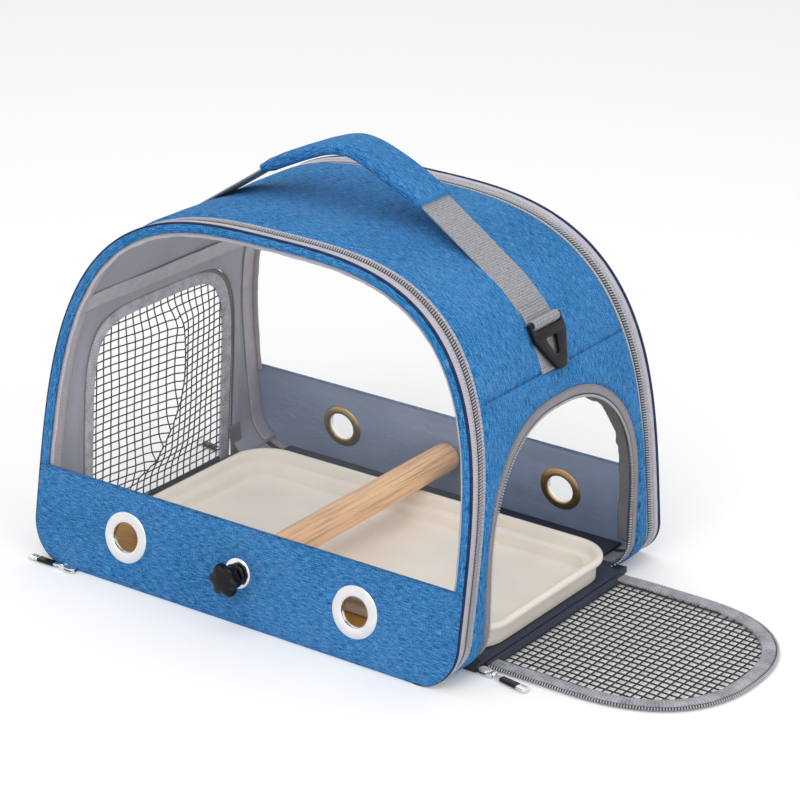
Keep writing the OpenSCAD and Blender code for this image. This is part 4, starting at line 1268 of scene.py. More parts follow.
@dataclass
class Face:
    """One leaning face: frame, band, window, piping, zipper and eyelets."""

    side: Side
    port_x: float = 109.0
    port_z: float = 39.0
    perch_z: float = 39.5
    border: float = 7.0
    coil_pitch: float = 2.2
    slant: float = 0.35

    @property
    def word(self) -> str:
        """The face's name in the nodes' names."""
        return self.side.name.lower()

    def on(self, flat: np.ndarray, depth: np.ndarray | float) -> np.ndarray:
        """Points on the face.

        Args:
            flat: X and Z of each point, before any depth is given.
            depth: how far inside the face's outer surface, along its normal.

        Returns:
            An array with a last axis of X, Y and Z.
        """
        y = self.side.value * CABIN.face_y(flat[..., 1])
        base = np.stack([flat[..., 0], y, flat[..., 1]], axis=-1)
        return base - np.broadcast_to(depth, flat.shape[:-1])[..., None] * CABIN.face_out(self.side)

    def arch_between(self, low: float, step: float = 3.0) -> np.ndarray:
        """Distances along the arch from the right foot to the left, above a height."""
        s1, s2 = ARCH.s_at(low, End.RIGHT), ARCH.s_at(low, End.LEFT)
        return np.linspace(s1, s2, int((s2 - s1) / step) + 1)

    def frame(self, shop: Shop) -> None:
        """The padded cloth frame round the window."""
        s = self.arch_between(CABIN.band - 0.5)
        b = self.border
        d = np.array([-0.8, -0.6, 0.2, 1.2, 0.3 * b, 0.45 * b, 0.6 * b, 0.75 * b, 0.88 * b, 0.96 * b, b])
        grid = np.stack([ARCH.at(s, k) for k in d], axis=1)
        lift = np.interp(d, [-0.8, 0.2, 1.2, 0.45 * b, 0.75 * b, 0.96 * b, b], [1.6, 0.7, 0.0, -0.6, -0.3, 0.7, 1.6])
        base = self.on(grid, 0.0)
        depth = lift[None, :] - 0.35 * ripple(base, 24.0, 2.0) * (lift[None, :] < 0.2)
        parts = MeshParts()
        uv = np.stack([np.broadcast_to(s[:, None], depth.shape), np.broadcast_to(d[None, :], depth.shape)], axis=-1)
        parts.slab(self.on(grid, depth), self.on(grid, 2.95), uv, inner_slot=1)
        obj = weld(parts.build(self.word + "_window_frame", [Finishes.BLUE, Finishes.LINING]))
        shop.fit(obj, "cabin", "blue_fabric", self.word + "_border")

    def band(self, shop: Shop) -> None:
        """The cloth band under the window, with its lined inner side and its holes."""
        ring = ARCH.at(ARCH.s, -0.8)
        half = len(ring) // 2
        z = np.concatenate([[0.0, 0.7, 1.8], np.linspace(3.6, CABIN.band, 30)])
        wide = np.interp(z, ring[:half, 1], ring[:half, 0])
        u = np.linspace(-1.0, 1.0, 161)
        grid = np.stack([wide[:, None] * u[None, :], np.broadcast_to(z[:, None], (len(z), len(u)))], axis=-1)
        base = self.on(grid, 0.0)
        up = np.broadcast_to((z / CABIN.band)[:, None], base.shape[:2])
        gap = np.minimum((1 - np.abs(u))[None, :] * 200.0, (z[:, None] + 0.0))
        gap = np.minimum(gap, CABIN.band - z[:, None])
        fade = smooth(gap, 0.0, 5.0)
        near = np.full(fade.shape, 1e3)
        for x, h in ((self.port_x, self.port_z), (-self.port_x, self.port_z), (0.0, self.perch_z)):
            near = np.minimum(near, np.hypot(grid[..., 0] - x, grid[..., 1] - h) - (20.5 if x else 12.0))
        fade = fade * smooth(near, -1.0, 11.0)
        puff = 1.0 * fade + 0.75 * ripple(base, 46.0, 3.0) * fade + 0.25 * ripple(base, 15.0, 6.0) * fade
        depth = 1.0 * (1 - smooth(gap, 0.0, 2.5)) - puff
        fold = np.exp(-((up - 0.93) / 0.012) ** 2)
        depth = depth + 0.35 * fold
        holes = [(x, h, r) for x, h, r in ((self.port_x, self.port_z, 16.4), (-self.port_x, self.port_z, 16.4),
                                           (0.0, self.perch_z, 8.2))]

        def keep(middle: np.ndarray) -> bool:
            """Whether a face's middle is clear of every hole."""
            return all(math.hypot(middle[0] - x, middle[2] - h) > r for x, h, r in holes)

        parts = MeshParts()
        parts.slab(self.on(grid, depth), self.on(grid, 2.95 + 0.25 * fade * ripple(base, 20.0, 8.0)), grid,
                   inner_slot=1, keep=keep)
        obj = weld(parts.build(self.word + "_band_cloth", [Finishes.BLUE_BAND, Finishes.DARK_LINING]), turn=False)
        shop.fit(obj, "cabin", "blue_fabric", self.word + "_band")

    def window(self, shop: Shop) -> None:
        """The clear sheet, a little wavy, tucked behind its frame."""
        s = self.arch_between(70.0, 5.0)
        rim = ARCH.at(s, 4.4)
        rim = np.vstack([rim, np.column_stack([np.linspace(rim[-1, 0], rim[0, 0], 60)[1:-1],
                                               np.full(58, rim[0, 1])])])
        mid = np.array([0.0, 165.0])
        r = np.linspace(1.0, 0.02, 26)
        grid = mid + (rim[:, None, :] - mid) * r[None, :, None]
        base = self.on(grid, 0.0)
        wave = (1.1 * ripple(base, 90.0, 5.0) + 0.25 * ripple(base, 30.0, 1.0)) * smooth(1 - r, 0.06, 0.4)[None, :]
        parts = MeshParts()
        for depth, flip in ((3.05 + wave, False), (3.05 + 0.6 + wave, True)):
            pts = self.on(grid, depth)
            uv = np.concatenate([grid, grid[:1]], axis=0)
            parts.grid(pts, uv, close_u=True, flip=flip)
            parts.fan(pts[:, -1], pts[:, -1].mean(axis=0), flip=flip)
        edge = np.stack([self.on(grid[:, 0], 3.05), self.on(grid[:, 0], 3.65)], axis=1)
        parts.grid(edge, np.zeros((len(rim) + 1, 2, 2)), close_u=True)
        obj = weld(parts.build(self.word + "_clear_sheet", [Finishes.WINDOW]))
        shop.fit(obj, "cabin", "clear_sheet", self.word + "_window")

    def along_edge(self, depth: float, inset: float, low: float, step: float = 3.0) -> tuple[np.ndarray, ...]:
        """A path along the face's edge with its directions.

        Args:
            depth: how far behind the face the path runs.
            inset: how far inside the arch's outer surface.
            low: the height of both feet.
            step: the distance between points.

        Returns:
            The places, the directions towards the face, and the outward directions.
        """
        s = np.linspace(0.0, ARCH.length, int(ARCH.length / step) + 1) if low <= 0 else self.arch_between(low, step)
        flat = ARCH.at(s, inset)
        y = self.side.value * CABIN.face_y(flat[:, 1], depth)
        path = np.column_stack([flat[:, 0], y, flat[:, 1]])
        out2 = ARCH.out_at(s)
        out = np.column_stack([out2[:, 0], np.zeros(len(s)), out2[:, 1]])
        across = unit(np.cross(out, tangents(path)))
        across *= np.sign(across[:, 1:2]) * self.side.value
        return path, across, out

    def trims(self, shop: Shop) -> None:
        """Piping, zipper tape and coil round the face, and the tape behind them inside."""
        path, across, out = self.along_edge(6.0, 0.0, 0.0)
        wrinkle = ripple(path, 11.0, 1.0)

        def pipe(i: int) -> np.ndarray:
            """The piping's round section, pinched a little by its seam."""
            w = 0.18 * wrinkle[i]
            return rounded(-2.9, 2.9, -2.6, 0.75 + w, 1.6, 4)

        parts = MeshParts()
        sweep(path, across, out, pipe, parts)
        # painted shadow: a dark blue strip in the gap between the piping and the frame
        sweep(path, across, out, rounded(2.9, 5.5, -1.6, 1.0, 0.5, 2), parts, slot=1)
        obj = weld(parts.build(self.word + "_edge_piping", [Finishes.PIPING, Finishes.SHADOW_GAP_BLUE]))
        shop.fit(obj, "cabin", "light_piping", self.word + "_piping")
        path, across, out = self.along_edge(15.0, 0.0, 0.0)
        parts = MeshParts()
        for a, b in ((-5.9, -2.9), (2.9, 5.9)):
            sweep(path, across, out, rounded(a, b, -2.7, -0.55, 0.5, 2), parts)
        sweep(path, across, out, rounded(-3.1, 3.1, -2.9, -0.45, 0.3, 1), parts, slot=1)
        for a, b in ((-5.9, -4.9), (4.9, 5.9)):
            sweep(path, across, out, rounded(a, b, -1.0, -0.15, 0.4, 2), parts)
        obj = weld(parts.build(self.word + "_zipper_cloth", [Finishes.ZIP_TAPE, Finishes.DARK_TAPE]))
        shop.fit(obj, "cabin", "grey_binding", self.word + "_zipper_tape")
        path, across, out = self.along_edge(15.0, 0.5, 0.0, self.coil_pitch)
        slant = unit(tangents(path) + self.slant * across)
        # the light coil colour is a painted highlight
        obj = shop.place_links(self.word + "_zipper_coil", path, slant, out, (1.05, 6.2, 2.3), Finishes.TEETH)
        shop.fit(obj, "cabin", "zipper_teeth", self.word + "_zipper_teeth")
        path, across, out = self.along_edge(12.0, 4.9, 6.0)
        sway = ripple(path, 26.0, 14.0)
        parts = MeshParts()
        sweep(path, across, out, lambda i: rounded(-7.0, 8.6, -0.9 + 0.3 * sway[i], -0.1 + 0.3 * sway[i], 0.3, 1, 3),
              parts)
        shop.fit(weld(parts.build(self.word + "_inner_tape", [Finishes.PIPING])), "cabin", "light_piping")

    def soft_edge(self) -> MeshParts:
        """The wavy binding that shows through the window, inside the frame."""
        s = self.arch_between(72.0)
        wave = ripple(np.column_stack([s, s * 0, s * 0]), 19.0, 6.0) + 0.6 * ripple(
            np.column_stack([s, s * 0, s * 0]), 8.0, 2.0)
        rows = []
        for d, h in ((-2.5, 0.0), (-2.5, 1.0), (0.5, 1.3), (2.7, 1.1), (3.4, 0.6), (2.7, 0.1)):
            flat = ARCH.at(s, self.border + d + (0.9 * wave if d > 0 else 0.0 * wave))
            rows.append(self.on(flat, 3.75 + h + 0.35 * wave))
        parts = MeshParts()
        pts = np.stack(rows, axis=1)
        uv = np.stack(np.meshgrid(s, np.array([0.0, 1, 4, 6, 7, 8, 13]), indexing="ij"), axis=-1)
        parts.grid(pts, uv, close_v=True)
        parts.fan(pts[0], pts[0].mean(axis=0))
        parts.fan(pts[-1], pts[-1].mean(axis=0), flip=True)
        return parts

    def eyelet(self, x: float, z: float, hole: float, rim: float, parts: MeshParts) -> None:
        """Adds one two-part eyelet: a bright rolled rim outside, a brass one inside."""
        at = self.on(np.array([x, z]), 0.0)
        place = axes(at, (1.0, 0.0, 0.0), CABIN.face_out(self.side))
        lathe([(hole, -2.9), (hole + 1.2, -2.9), (hole + 1.2, -0.1), (rim - 0.4, -0.1), (rim, 0.2), (rim - 0.3, 0.6),
               (rim - 1.6, 1.0), ((hole + rim) / 2 + 0.6, 1.25), (hole + 1.8, 1.2), (hole + 0.6, 0.9), (hole, 0.2)],
              place, parts, 72, ring=True)
        r2 = rim - 1.5
        lathe([(hole + 0.05, -4.1), (hole + 0.5, -4.5), (hole + 2.0, -4.7), (r2 - 1.4, -4.3), (r2 - 0.2, -3.7),
               (r2, -3.2), (r2 - 0.5, -3.0), (hole + 0.6, -3.0), (hole + 0.05, -3.0)], place, parts, 72, ring=True, slot=1)

    def stitches(self, shop: Shop) -> None:
        """Stitch lines along the frame's inner edge and the band's top."""
        s = self.arch_between(80.0, 3.4)
        flat = ARCH.at(s, self.border - 1.9)
        rows = [self.on(flat, -0.3)]
        x = np.arange(-172.0, 172.0, 3.4)
        rows.append(self.on(np.column_stack([x, np.full(len(x), 74.4)]), -0.15))
        pts = np.vstack(rows)
        along = np.vstack([tangents(r) for r in rows])
        out = np.broadcast_to(CABIN.face_out(self.side), pts.shape)
        obj = shop.place_links(self.word + "_face_stitches", pts, along, out, (2.3, 0.55, 0.6), Finishes.BLUE_THREAD)
        shop.fit(obj, "cabin", "blue_fabric")

    def build(self, shop: Shop) -> tuple[MeshParts, MeshParts]:
        """Builds the face.

        Args:
            shop: fits the pieces to their bodies.

        Returns:
            The wavy binding and the four ports' eyelets, which both faces share.
        """
        self.frame(shop)
        self.band(shop)
        self.window(shop)
        self.trims(shop)
        self.stitches(shop)
        ports = MeshParts()
        for x in (-self.port_x, self.port_x):
            self.eyelet(x, self.port_z, 12.0, 20.5, ports)
        return self.soft_edge(), ports


def joined(*several: MeshParts) -> MeshParts:
    """Gathers several meshes into one."""
    out = MeshParts()
    for one in several:
        base = len(out.verts)
        out.verts.extend(one.verts)
        out.faces.extend([[base + k for k in f] for f in one.faces])
        out.uvs.extend(one.uvs)
        out.slots.extend(one.slots)
    return out


@dataclass
class Opening:
    """The zipper round one door's opening, with its sill."""

    end: End
    door: DoorShape
    coil_pitch: float = 2.2

    @property
    def word(self) -> str:
        """The end's name in the nodes' names."""
        return self.end.name.lower()

    def path(self, grow: float, low: float, d: float, step: float = 3.0) -> tuple[np.ndarray, ...]:
        """A path round the opening with its directions.

        Args:
            grow: how far outside the opening's own edge it runs.
            low: the height of both feet.
            d: how far inside the end wall's outer surface.
            step: the distance between points.

        Returns:
            The places, the directions away from the opening, and the wall's outward directions.
        """
        line = self.door.outline(self.door.gap + grow, low - self.door.hinge_z, step)
        up = line[:, 1] + self.door.hinge_z
        pts = ARCH.wall(line[:, 0], up, d, self.end)
        out = ARCH.wall_out(up, self.end)
        side = unit(np.cross(tangents(pts), out))
        side *= np.sign(((pts - pts.mean(axis=0)) * side).sum())
        return pts, side, out

    def drawn_in(self, pts: np.ndarray) -> np.ndarray:
        """How far the closed door draws the opening's edge inwards at each point."""
        if self.end is End.RIGHT:
            return np.zeros(len(pts))
        door_x = 196.0 - math.tan(math.radians(2.0)) * (pts[:, 2] - self.door.hinge_z)
        return np.maximum(np.abs(pts[:, 0]) - door_x - 1.5, 0.0)

    def build(self, shop: Shop) -> None:
        """Builds the tape, its stitches, the coil and the sill's binding."""
        pts, side, out = self.path(6.1, 5.0, 0.0)
        wave = ripple(pts, 18.0, 2.0)
        sink = self.drawn_in(pts)

        def tape(i: int) -> np.ndarray:
            """The tape's section, which dips towards the closed door."""
            p = rounded(-3.5, 3.6, -2.8, -0.1 + 0.25 * wave[i], 1.0, 3, 6)
            p[:, 1] -= sink[i] * smooth((3.6 - p[:, 0]) / 7.1, 0.0, 1.0)
            return p

        def chain_tape(i: int) -> np.ndarray:
            """The dark strip under the coil, at the tape's inner edge."""
            p = rounded(-6.2, -3.0, -2.5, -1.5, 0.4, 2)
            p[:, 1] -= sink[i]
            return p

        parts = MeshParts()
        sweep(pts, side, out, tape, parts)
        sweep(pts, side, out, chain_tape, parts, slot=1)
        chain = Finishes.DARK_TAPE if self.end is End.RIGHT else Finishes.LEFT_CHAIN
        obj = weld(parts.build(self.word + "_opening_cloth", [Finishes.GREY_TAPE, chain]))
        shop.fit(obj, "cabin", "grey_binding", self.word + "_opening_tape")
        pts, side, out = self.path(8.3, 8.0, -0.05, 3.2)
        obj = shop.place_links(self.word + "_opening_stitches", pts, tangents(pts), out, (2.2, 0.5, 0.5),
                               Finishes.THREAD)
        shop.fit(obj, "cabin", "grey_binding")
        pts, side, out = self.path(1.0, 5.5, 1.2, self.coil_pitch)
        pts = pts - out * self.drawn_in(pts)[:, None]
        coil = Finishes.TEETH if self.end is End.RIGHT else Finishes.GREY_TEETH
        obj = shop.place_links(self.word + "_opening_coil", pts, tangents(pts), out, (1.3, 2.6, 2.6), coil)
        shop.fit(obj, "cabin", "zipper_teeth", self.word + "_opening_teeth")
        self.sill(shop)

    def corner_tabs(self, parts: MeshParts) -> None:
        """Two tabs of the binding that stand up beside the closed door and cover the gap at the wall's foot.

        Args:
            parts: the sill binding's mesh.
        """
        up = np.linspace(5.3, 33.0, 12)
        for side in (-1.0, 1.0):
            lean = 0.8 * np.sin(up / 9.0)
            path = np.column_stack([np.full(len(up), self.end.value * 190.4) + self.end.value * 0.03 * up,
                                    side * (self.door.half + 3.0) + lean, up])
            across = np.tile([0.0, 1.0, 0.0], (len(up), 1))
            out = np.tile([float(self.end.value), 0.0, 0.0], (len(up), 1))
            sweep(path, across, out, rounded(-7.5, 7.5, -0.45, 0.45, 0.3, 2), parts, slot=1)

    def sill(self, shop: Shop) -> None:
        """The binding folded over the floor's edge under the opening."""
        y = np.linspace(-1.0, 1.0, 110) * (self.door.half + 9.4)
        path = np.column_stack([np.full(len(y), self.end.value * 191.6), y, np.zeros(len(y))])
        across = np.tile([float(self.end.value), 0.0, 0.0], (len(y), 1))
        up = np.tile([0.0, 0.0, 1.0], (len(y), 1))
        wave = 0.12 * ripple(path, 14.0, 5.0)

        def fold(i: int) -> np.ndarray:
            """The binding's section: a flap on the floor and a lip over the edge."""
            h = 5.5 + wave[i]
            inside = abs(y[i]) < self.door.half
            back = -6.0 if inside else -0.05
            low = 5.03
            return np.array([[back, low], [-0.05, low], [-0.05, 0.25], [0.4, 0.05], [1.6, 0.05], [2.0, 0.5],
                             [2.05, h - 0.8], [1.5, h - 0.1], [0.5, h + 0.1], [back + 0.4, h - 0.05], [back, h - 0.15]])

        parts = MeshParts()
        sweep(path, across, up, fold, parts)
        if self.end is End.LEFT:
            self.corner_tabs(parts)
        shop.fit(weld(parts.build(self.word + "_sill_cloth", [Finishes.SHADED_SILL_TAPE, Finishes.LEFT_CHAIN])),
                 "cabin", "grey_binding",
                 "sill_bindings")


@dataclass
class InnerFlap:
    """The thin wrinkled guard behind the right opening's zipper."""

    opening: Opening
    depth: float = 9.0

    def build(self, shop: Shop) -> None:
        """Builds the guard as a thin cloth that waves along its free edge."""
        pts, side, out = self.opening.path(1.3, 30.0, 3.6, 2.4)
        v = np.linspace(0.0, 1.0, 8)
        grid = pts[:, None, :] - out[:, None, :] * (v * self.depth)[None, :, None]
        wave = ripple(grid, 13.0, 3.0) * v[None, :] + 0.5 * ripple(grid, 6.0, 8.0) * v[None, :]
        mid = grid + side[:, None, :] * (1.9 * wave)[..., None]
        parts = MeshParts()
        uv = np.stack(np.meshgrid(lengths(pts), v * self.depth, indexing="ij"), axis=-1)
        parts.slab(mid - side[:, None, :] * 0.55, mid + side[:, None, :] * 0.55, uv)
        shop.fit(weld(parts.build("right_guard_cloth", [Finishes.GUARD])), "cabin", "light_piping",
                 "right_inner_flap")


# ---- the perch and its knobs


def place_at_perch_end(side: Side, out: float) -> Matrix:
    """The frame of one perch end, its Z outwards and its origin that far past the end."""
    return axes((0.0, side.value * (139.273 + out), 39.5), (1.0, 0.0, 0.0), (0.0, float(side.value), 0.0))


@dataclass
class Perch:
    """The turned perch bar between the two faces."""

    half: float = 139.273
    radius: float = 12.5
    height: float = 39.5

    def build(self, shop: Shop) -> None:
        """Turns the bar, with a soft edge and a bored end at both ends."""
        z = np.linspace(-self.half + 2.5, self.half - 2.5, 60)
        body = [(self.radius + 0.06 * math.sin(0.21 * k), k) for k in z]
        end = [(0.0, -self.half + 15.0), (4.52, -self.half + 15.0), (4.52, -self.half), (11.2, -self.half),
               (12.1, -self.half + 0.4), (self.radius, -self.half + 1.4)]
        profile = end + body + [(r, -k) for r, k in reversed(end)]
        parts = MeshParts()
        lathe(profile, axes((0.0, 0.0, self.height), (1.0, 0.0, 0.0), (0.0, 1.0, 0.0)), parts, 72)
        obj = sharpen(weld(parts.build("perch_bar", [Finishes.WOOD])), 50)
        shop.fit(obj, "cabin", "beech", "perch")


@dataclass
class StarKnob:
    """One star knob with its washer; its stud is the frame's own."""

    side: Side
    radius: float = 13.5
    lobes: int = 6

    def head(self) -> MeshParts:
        """The lobed and domed head on its round hub."""
        a = np.linspace(0.0, 2 * math.pi, 120, endpoint=False)
        lobe = np.sin(self.lobes * a / 2) ** 2
        ledge = [(0.0, 5.0), (0.72, 5.0), (0.93, 5.3), (0.985, 6.2), (1.0, 7.4), (1.0, 11.0), (0.985, 12.1),
                 (0.93, 13.1), (0.84, 13.9), (0.7, 14.6), (0.5, 15.3), (0.3, 15.75), (0.14, 15.95), (0.05, 16.0)]
        parts = MeshParts()
        rows = []
        for share, z in ledge:
            r = self.radius * share * (1 - 0.2 * lobe * min(1.0, max(0.0, (share - 0.3) / 0.5)))
            rows.append(np.column_stack([r * np.cos(a), r * np.sin(a), np.full(len(a), z)]))
        place = place_at_perch_end(self.side, 11.536)
        pts = moved(np.stack(rows, axis=1).reshape(-1, 3), place).reshape(len(a), len(rows), 3)
        parts.grid(pts, np.zeros((len(a) + 1, len(rows), 2)), close_u=True)
        parts.fan(pts[:, -1], pts[:, -1].mean(axis=0))
        lathe([(3.1, 0.0), (6.9, 0.0), (7.5, 0.6), (7.3, 2.5), (7.5, 4.4), (8.6, 5.1), (3.1, 5.1)], place, parts, 48,
              ring=True)
        return parts

    def build(self, shop: Shop) -> None:
        """Builds the knob and the washer."""
        word = self.side.name.lower()
        obj = weld(self.head().build(word + "_knob_head", [Finishes.BLACK]))
        shop.fit(sharpen(obj, 55), word + "_knob", "black_plastic", word + "_star_knob")
        parts = MeshParts()
        lathe([(3.0, 0.0), (8.3, 0.0), (9.0, 0.6), (9.0, 1.9), (8.4, 2.45), (7.6, 2.5), (6.6, 2.2), (3.0, 2.2)],
              place_at_perch_end(self.side, 8.736), parts, 56, ring=True)
        obj = sharpen(weld(parts.build(word + "_washer_disc", [Finishes.BLACK])), 50)
        shop.fit(obj, word + "_washer", "black_plastic", word + "_knob_washer")


# ---- the tray


@dataclass
class Tray:
    """The sliding plastic floor tray."""

    length: float = 356.0
    width: float = 194.0
    radius: float = 34.0
    end_x: float = 192.289
    base_z: float = 5.9

    def ring(self, inset: float, z: float, n: int = 14, side: int = 26) -> np.ndarray:
        """One level outline of the tray, moved inwards."""
        a, b = self.length / 2 - inset, self.width / 2 - inset
        r = max(self.radius - inset, 1.0)
        pts = []
        for cx, cy, a0, count in ((a - r, b - r, 0, side * 2), (r - a, b - r, 90, side), (r - a, r - b, 180, side * 2),
                                  (a - r, r - b, 270, side)):
            corner = [(cx + r * math.cos(math.radians(a0 + 90 * k / n)), cy + r * math.sin(math.radians(a0 + 90 * k / n)))
                      for k in range(n + 1)]
            pts.extend(corner)
            far = {0: (r - a, b), 90: (-a, r - b), 180: (a - r, -b), 270: (a, b - r)}[a0]
            pts.extend([(corner[-1][0] + (far[0] - corner[-1][0]) * (k + 1) / (count + 1),
                         corner[-1][1] + (far[1] - corner[-1][1]) * (k + 1) / (count + 1)) for k in range(count)])
        out = np.array(pts)
        return np.column_stack([out[:, 0] + self.end_x - self.length / 2, out[:, 1], np.full(len(out), z + self.base_z)])

    def build(self, shop: Shop) -> None:
        """Lofts the rolled rim, the ledge and the hollow, then the underside."""
        section = [(16.6, 2.25), (16.3, 2.6), (16.0, 4.5), (15.7, 9.5), (15.2, 10.7), (14.4, 11.1), (8.6, 11.25),
                   (7.7, 11.6), (7.2, 12.6), (6.9, 17.5), (6.4, 18.9), (5.2, 19.7), (3.6, 20.15), (1.9, 20.0),
                   (0.6, 19.2), (0.05, 18.0), (0.0, 16.2), (0.3, 15.3), (0.9, 15.3), (1.3, 16.0), (1.5, 17.2),
                   (2.4, 17.8), (4.2, 17.8), (4.9, 17.2), (5.0, 16.0), (5.0, 6.0), (5.0, 0.6), (5.3, 0.1), (6.6, 0.1),
                   (6.9, 0.6), (7.0, 8.6), (7.4, 9.1), (13.2, 9.2), (13.9, 8.8), (14.1, 8.0), (14.1, 1.2),
                   (14.6, 0.35), (15.6, 0.0)]
        parts = MeshParts()
        rings = [self.ring(i, z) for i, z in section]
        pts = np.stack(rings, axis=1)
        uv = np.zeros((pts.shape[0] + 1, pts.shape[1], 2))
        parts.grid(pts, uv, close_u=True)
        for start, z, turn in ((rings[0], 2.1, False), (rings[-1], 0.0, True)):
            last = start
            for k in range(1, 16):
                here = self.ring(16.0 + 79.5 * (k / 15) ** 0.9, z)
                dome = 0.25 * math.sin(math.pi * k / 15)
                here[:, 2] += dome if not turn else 0.0
                parts.grid(np.stack([last, here], axis=1), np.zeros((len(here) + 1, 2, 2)), close_u=True, flip=turn)
                last = here
            parts.fan(last, last.mean(axis=0), flip=turn)
        obj = weld(parts.build("tray_shell", [Finishes.IVORY]), 0.02)
        shop.fit(sharpen(obj, 60), "tray", "ivory_plastic", "tray")


# ---- the doors


@dataclass
class Door:
    """One net door: hem, bound edge, coil and net, laid out from its hinge."""

    end: End
    shape: DoorShape
    across_pitch: float
    along_pitch: float
    binding: Finish
    coil: Finish
    chain: Finish
    cord: float = 0.68

    @property
    def word(self) -> str:
        """The end's name in the nodes' names."""
        return self.end.name.lower()

    def put(self, flat: np.ndarray) -> np.ndarray:
        """Moves points from the door's own frame into the cabin's.

        Args:
            flat: places along the door from its hinge, across it, and outwards or up.

        Returns:
            The places in the cabin's frame.
        """
        a, b, c = flat[..., 0], flat[..., 1], flat[..., 2]
        if self.end is End.RIGHT:
            return np.stack([196.0 + a, b, 2.5 + c], axis=-1)
        lean = math.radians(2.0)
        return np.stack([-196.0 + math.sin(lean) * a + math.cos(lean) * c, b,
                         2.5 + math.cos(lean) * a - math.sin(lean) * c], axis=-1)

    def turn(self, v: np.ndarray) -> np.ndarray:
        """Turns directions from the door's own frame into the cabin's."""
        return self.put(v) - self.put(np.zeros(3))

    def edge(self, grow: float, low: float, step: float = 3.0) -> tuple[np.ndarray, ...]:
        """The door's outline with its outward directions, in its own frame.

        Args:
            grow: how far outside the door's edge.
            low: where both legs start, from the hinge.
            step: the distance between points.

        Returns:
            Places and outward directions, each with a last axis of three.
        """
        line = self.shape.outline(grow, low, step)
        pts = np.column_stack([line[:, 1], line[:, 0], np.zeros(len(line))])
        t = tangents(pts)
        side = np.column_stack([t[:, 1], -t[:, 0], t[:, 2]])
        side *= np.sign(((pts - pts.mean(axis=0)) * side).sum())
        return pts, side

    def net_height(self, a: np.ndarray, b: np.ndarray) -> np.ndarray:
        """How far the net stands off its own flat plane."""
        pts = np.stack([a, b, a * 0], axis=-1)
        free = smooth(self.shape.half - 14 - np.abs(b), 0.0, 22.0) * smooth(a, 4.0, 40.0) * smooth(
            self.shape.length - 15 - a, 0.0, 26.0)
        if self.end is End.RIGHT:
            return free * (0.4 * ripple(pts, 60.0, 3.0) - 0.2)
        middle = 17.0 - np.where(a < 115.0, 0.006, 0.0035) * (a - 115.0) ** 2
        rise = np.clip(np.where(b < middle, (b + 66.0) / (middle + 66.0), (82.0 - b) / (82.0 - middle)), 0.0, 1.0)
        fold = 10.0 * rise ** 1.25 + 3.2 * np.exp(-(((b - middle) / 4.5) ** 2))
        return free * (1.1 * ripple(pts, 40.0, 6.0) + 0.5 * ripple(pts, 16.0, 2.0) + fold * smooth(a, 6.0, 40.0))

    def net(self, shop: Shop) -> None:
        """Draws the square net's cords, slightly drawn out of line."""
        edge = self.shape.teeth + self.shape.binding - 1.5
        ring = self.shape.outline(-edge, 2.0, 1.0)
        lines = []

        def cut(a: np.ndarray, b: np.ndarray) -> None:
            """Keeps the stretches of a cord that lie inside the binding."""
            reach = np.interp(a, ring[: len(ring) // 2, 1], ring[: len(ring) // 2, 0])
            keep = (np.abs(b) <= reach) & (a >= 2.9) & (a <= self.shape.length - edge)
            k = 0
            while k < len(a):
                if not keep[k]:
                    k += 1
                    continue
                start = k
                while k < len(a) and keep[k]:
                    k += 1
                if k - start > 2:
                    part = slice(start, k)
                    lines.append(self.put(np.stack([a[part], b[part], self.net_height(a[part], b[part])], axis=-1)))

        half, length = self.shape.half, self.shape.length
        for j in range(-int(half / self.across_pitch), int(half / self.across_pitch) + 1):
            a = np.linspace(3.0, length, 110)
            b = np.full(110, j * self.across_pitch)
            cut(a, b + 0.9 * ripple(np.column_stack([a, b, b * 0]), 45.0, 2.0))
        for i in range(1, int(length / self.along_pitch) + 1):
            b = np.linspace(-half, half, 120)
            a = np.full(120, i * self.along_pitch - 1.5)
            cut(a + 1.1 * ripple(np.column_stack([a, b, b * 0]), 55.0, 7.0), b)
        obj = shop.draw_cords(self.word + "_net_cords", lines, self.cord, Finishes.NET, 5)
        shop.fit(obj, self.word + "_door", "black_net", self.word + "_door_net")

    def build(self, shop: Shop) -> None:
        """Builds the hem, the bound edge, its stitches, the coil and the net."""
        body = self.word + "_door"
        s = self.shape
        y = np.linspace(-1.0, 1.0, 120) * (s.half - 1.0)
        path = np.column_stack([y * 0, y, y * 0])
        wave = ripple(path, 16.0, 4.0)
        along_door, up = np.tile([1.0, 0, 0], (len(y), 1)), np.tile([0, 0, 1.0], (len(y), 1))
        parts = MeshParts()
        sweep(self.put(path), self.turn(along_door), self.turn(up),
              lambda i: rounded(-2.05, 2.1, -2.05, 1.95 + 0.12 * wave[i], 1.9, 4), parts)
        inner = np.abs(y) < s.half - 12.0
        sweep(self.put(path[inner]), self.turn(along_door[inner]), self.turn(up[inner]),
              lambda i: rounded(1.2, 4.6 + 0.4 * wave[i], -0.75, 0.85 + 0.15 * wave[i], 0.5, 2, 3), parts)
        # the hem's dark colour is partly the navy tape and partly painted shade
        shop.fit(weld(parts.build(self.word + "_hem_cloth", [Finishes.SHADED_SILL_TAPE])), body, "grey_binding", body + "_hem")
        pts, side = self.edge(-7.8, 2.2, 2.6)
        up = np.tile([0, 0, 1.0], (len(pts), 1))
        wave = ripple(pts, 12.0, 9.0)
        tilt = 0.35 * ripple(pts, 40.0, 2.0)

        def lift_of(at: np.ndarray) -> np.ndarray:
            """How far the open door's edge stands up."""
            return 0.5 * smooth(at[:, 1], 10.0, 80.0) * smooth(at[:, 0], 2.0, 30.0) * (self.end is End.RIGHT)

        lift = lift_of(pts)
        parts = MeshParts()

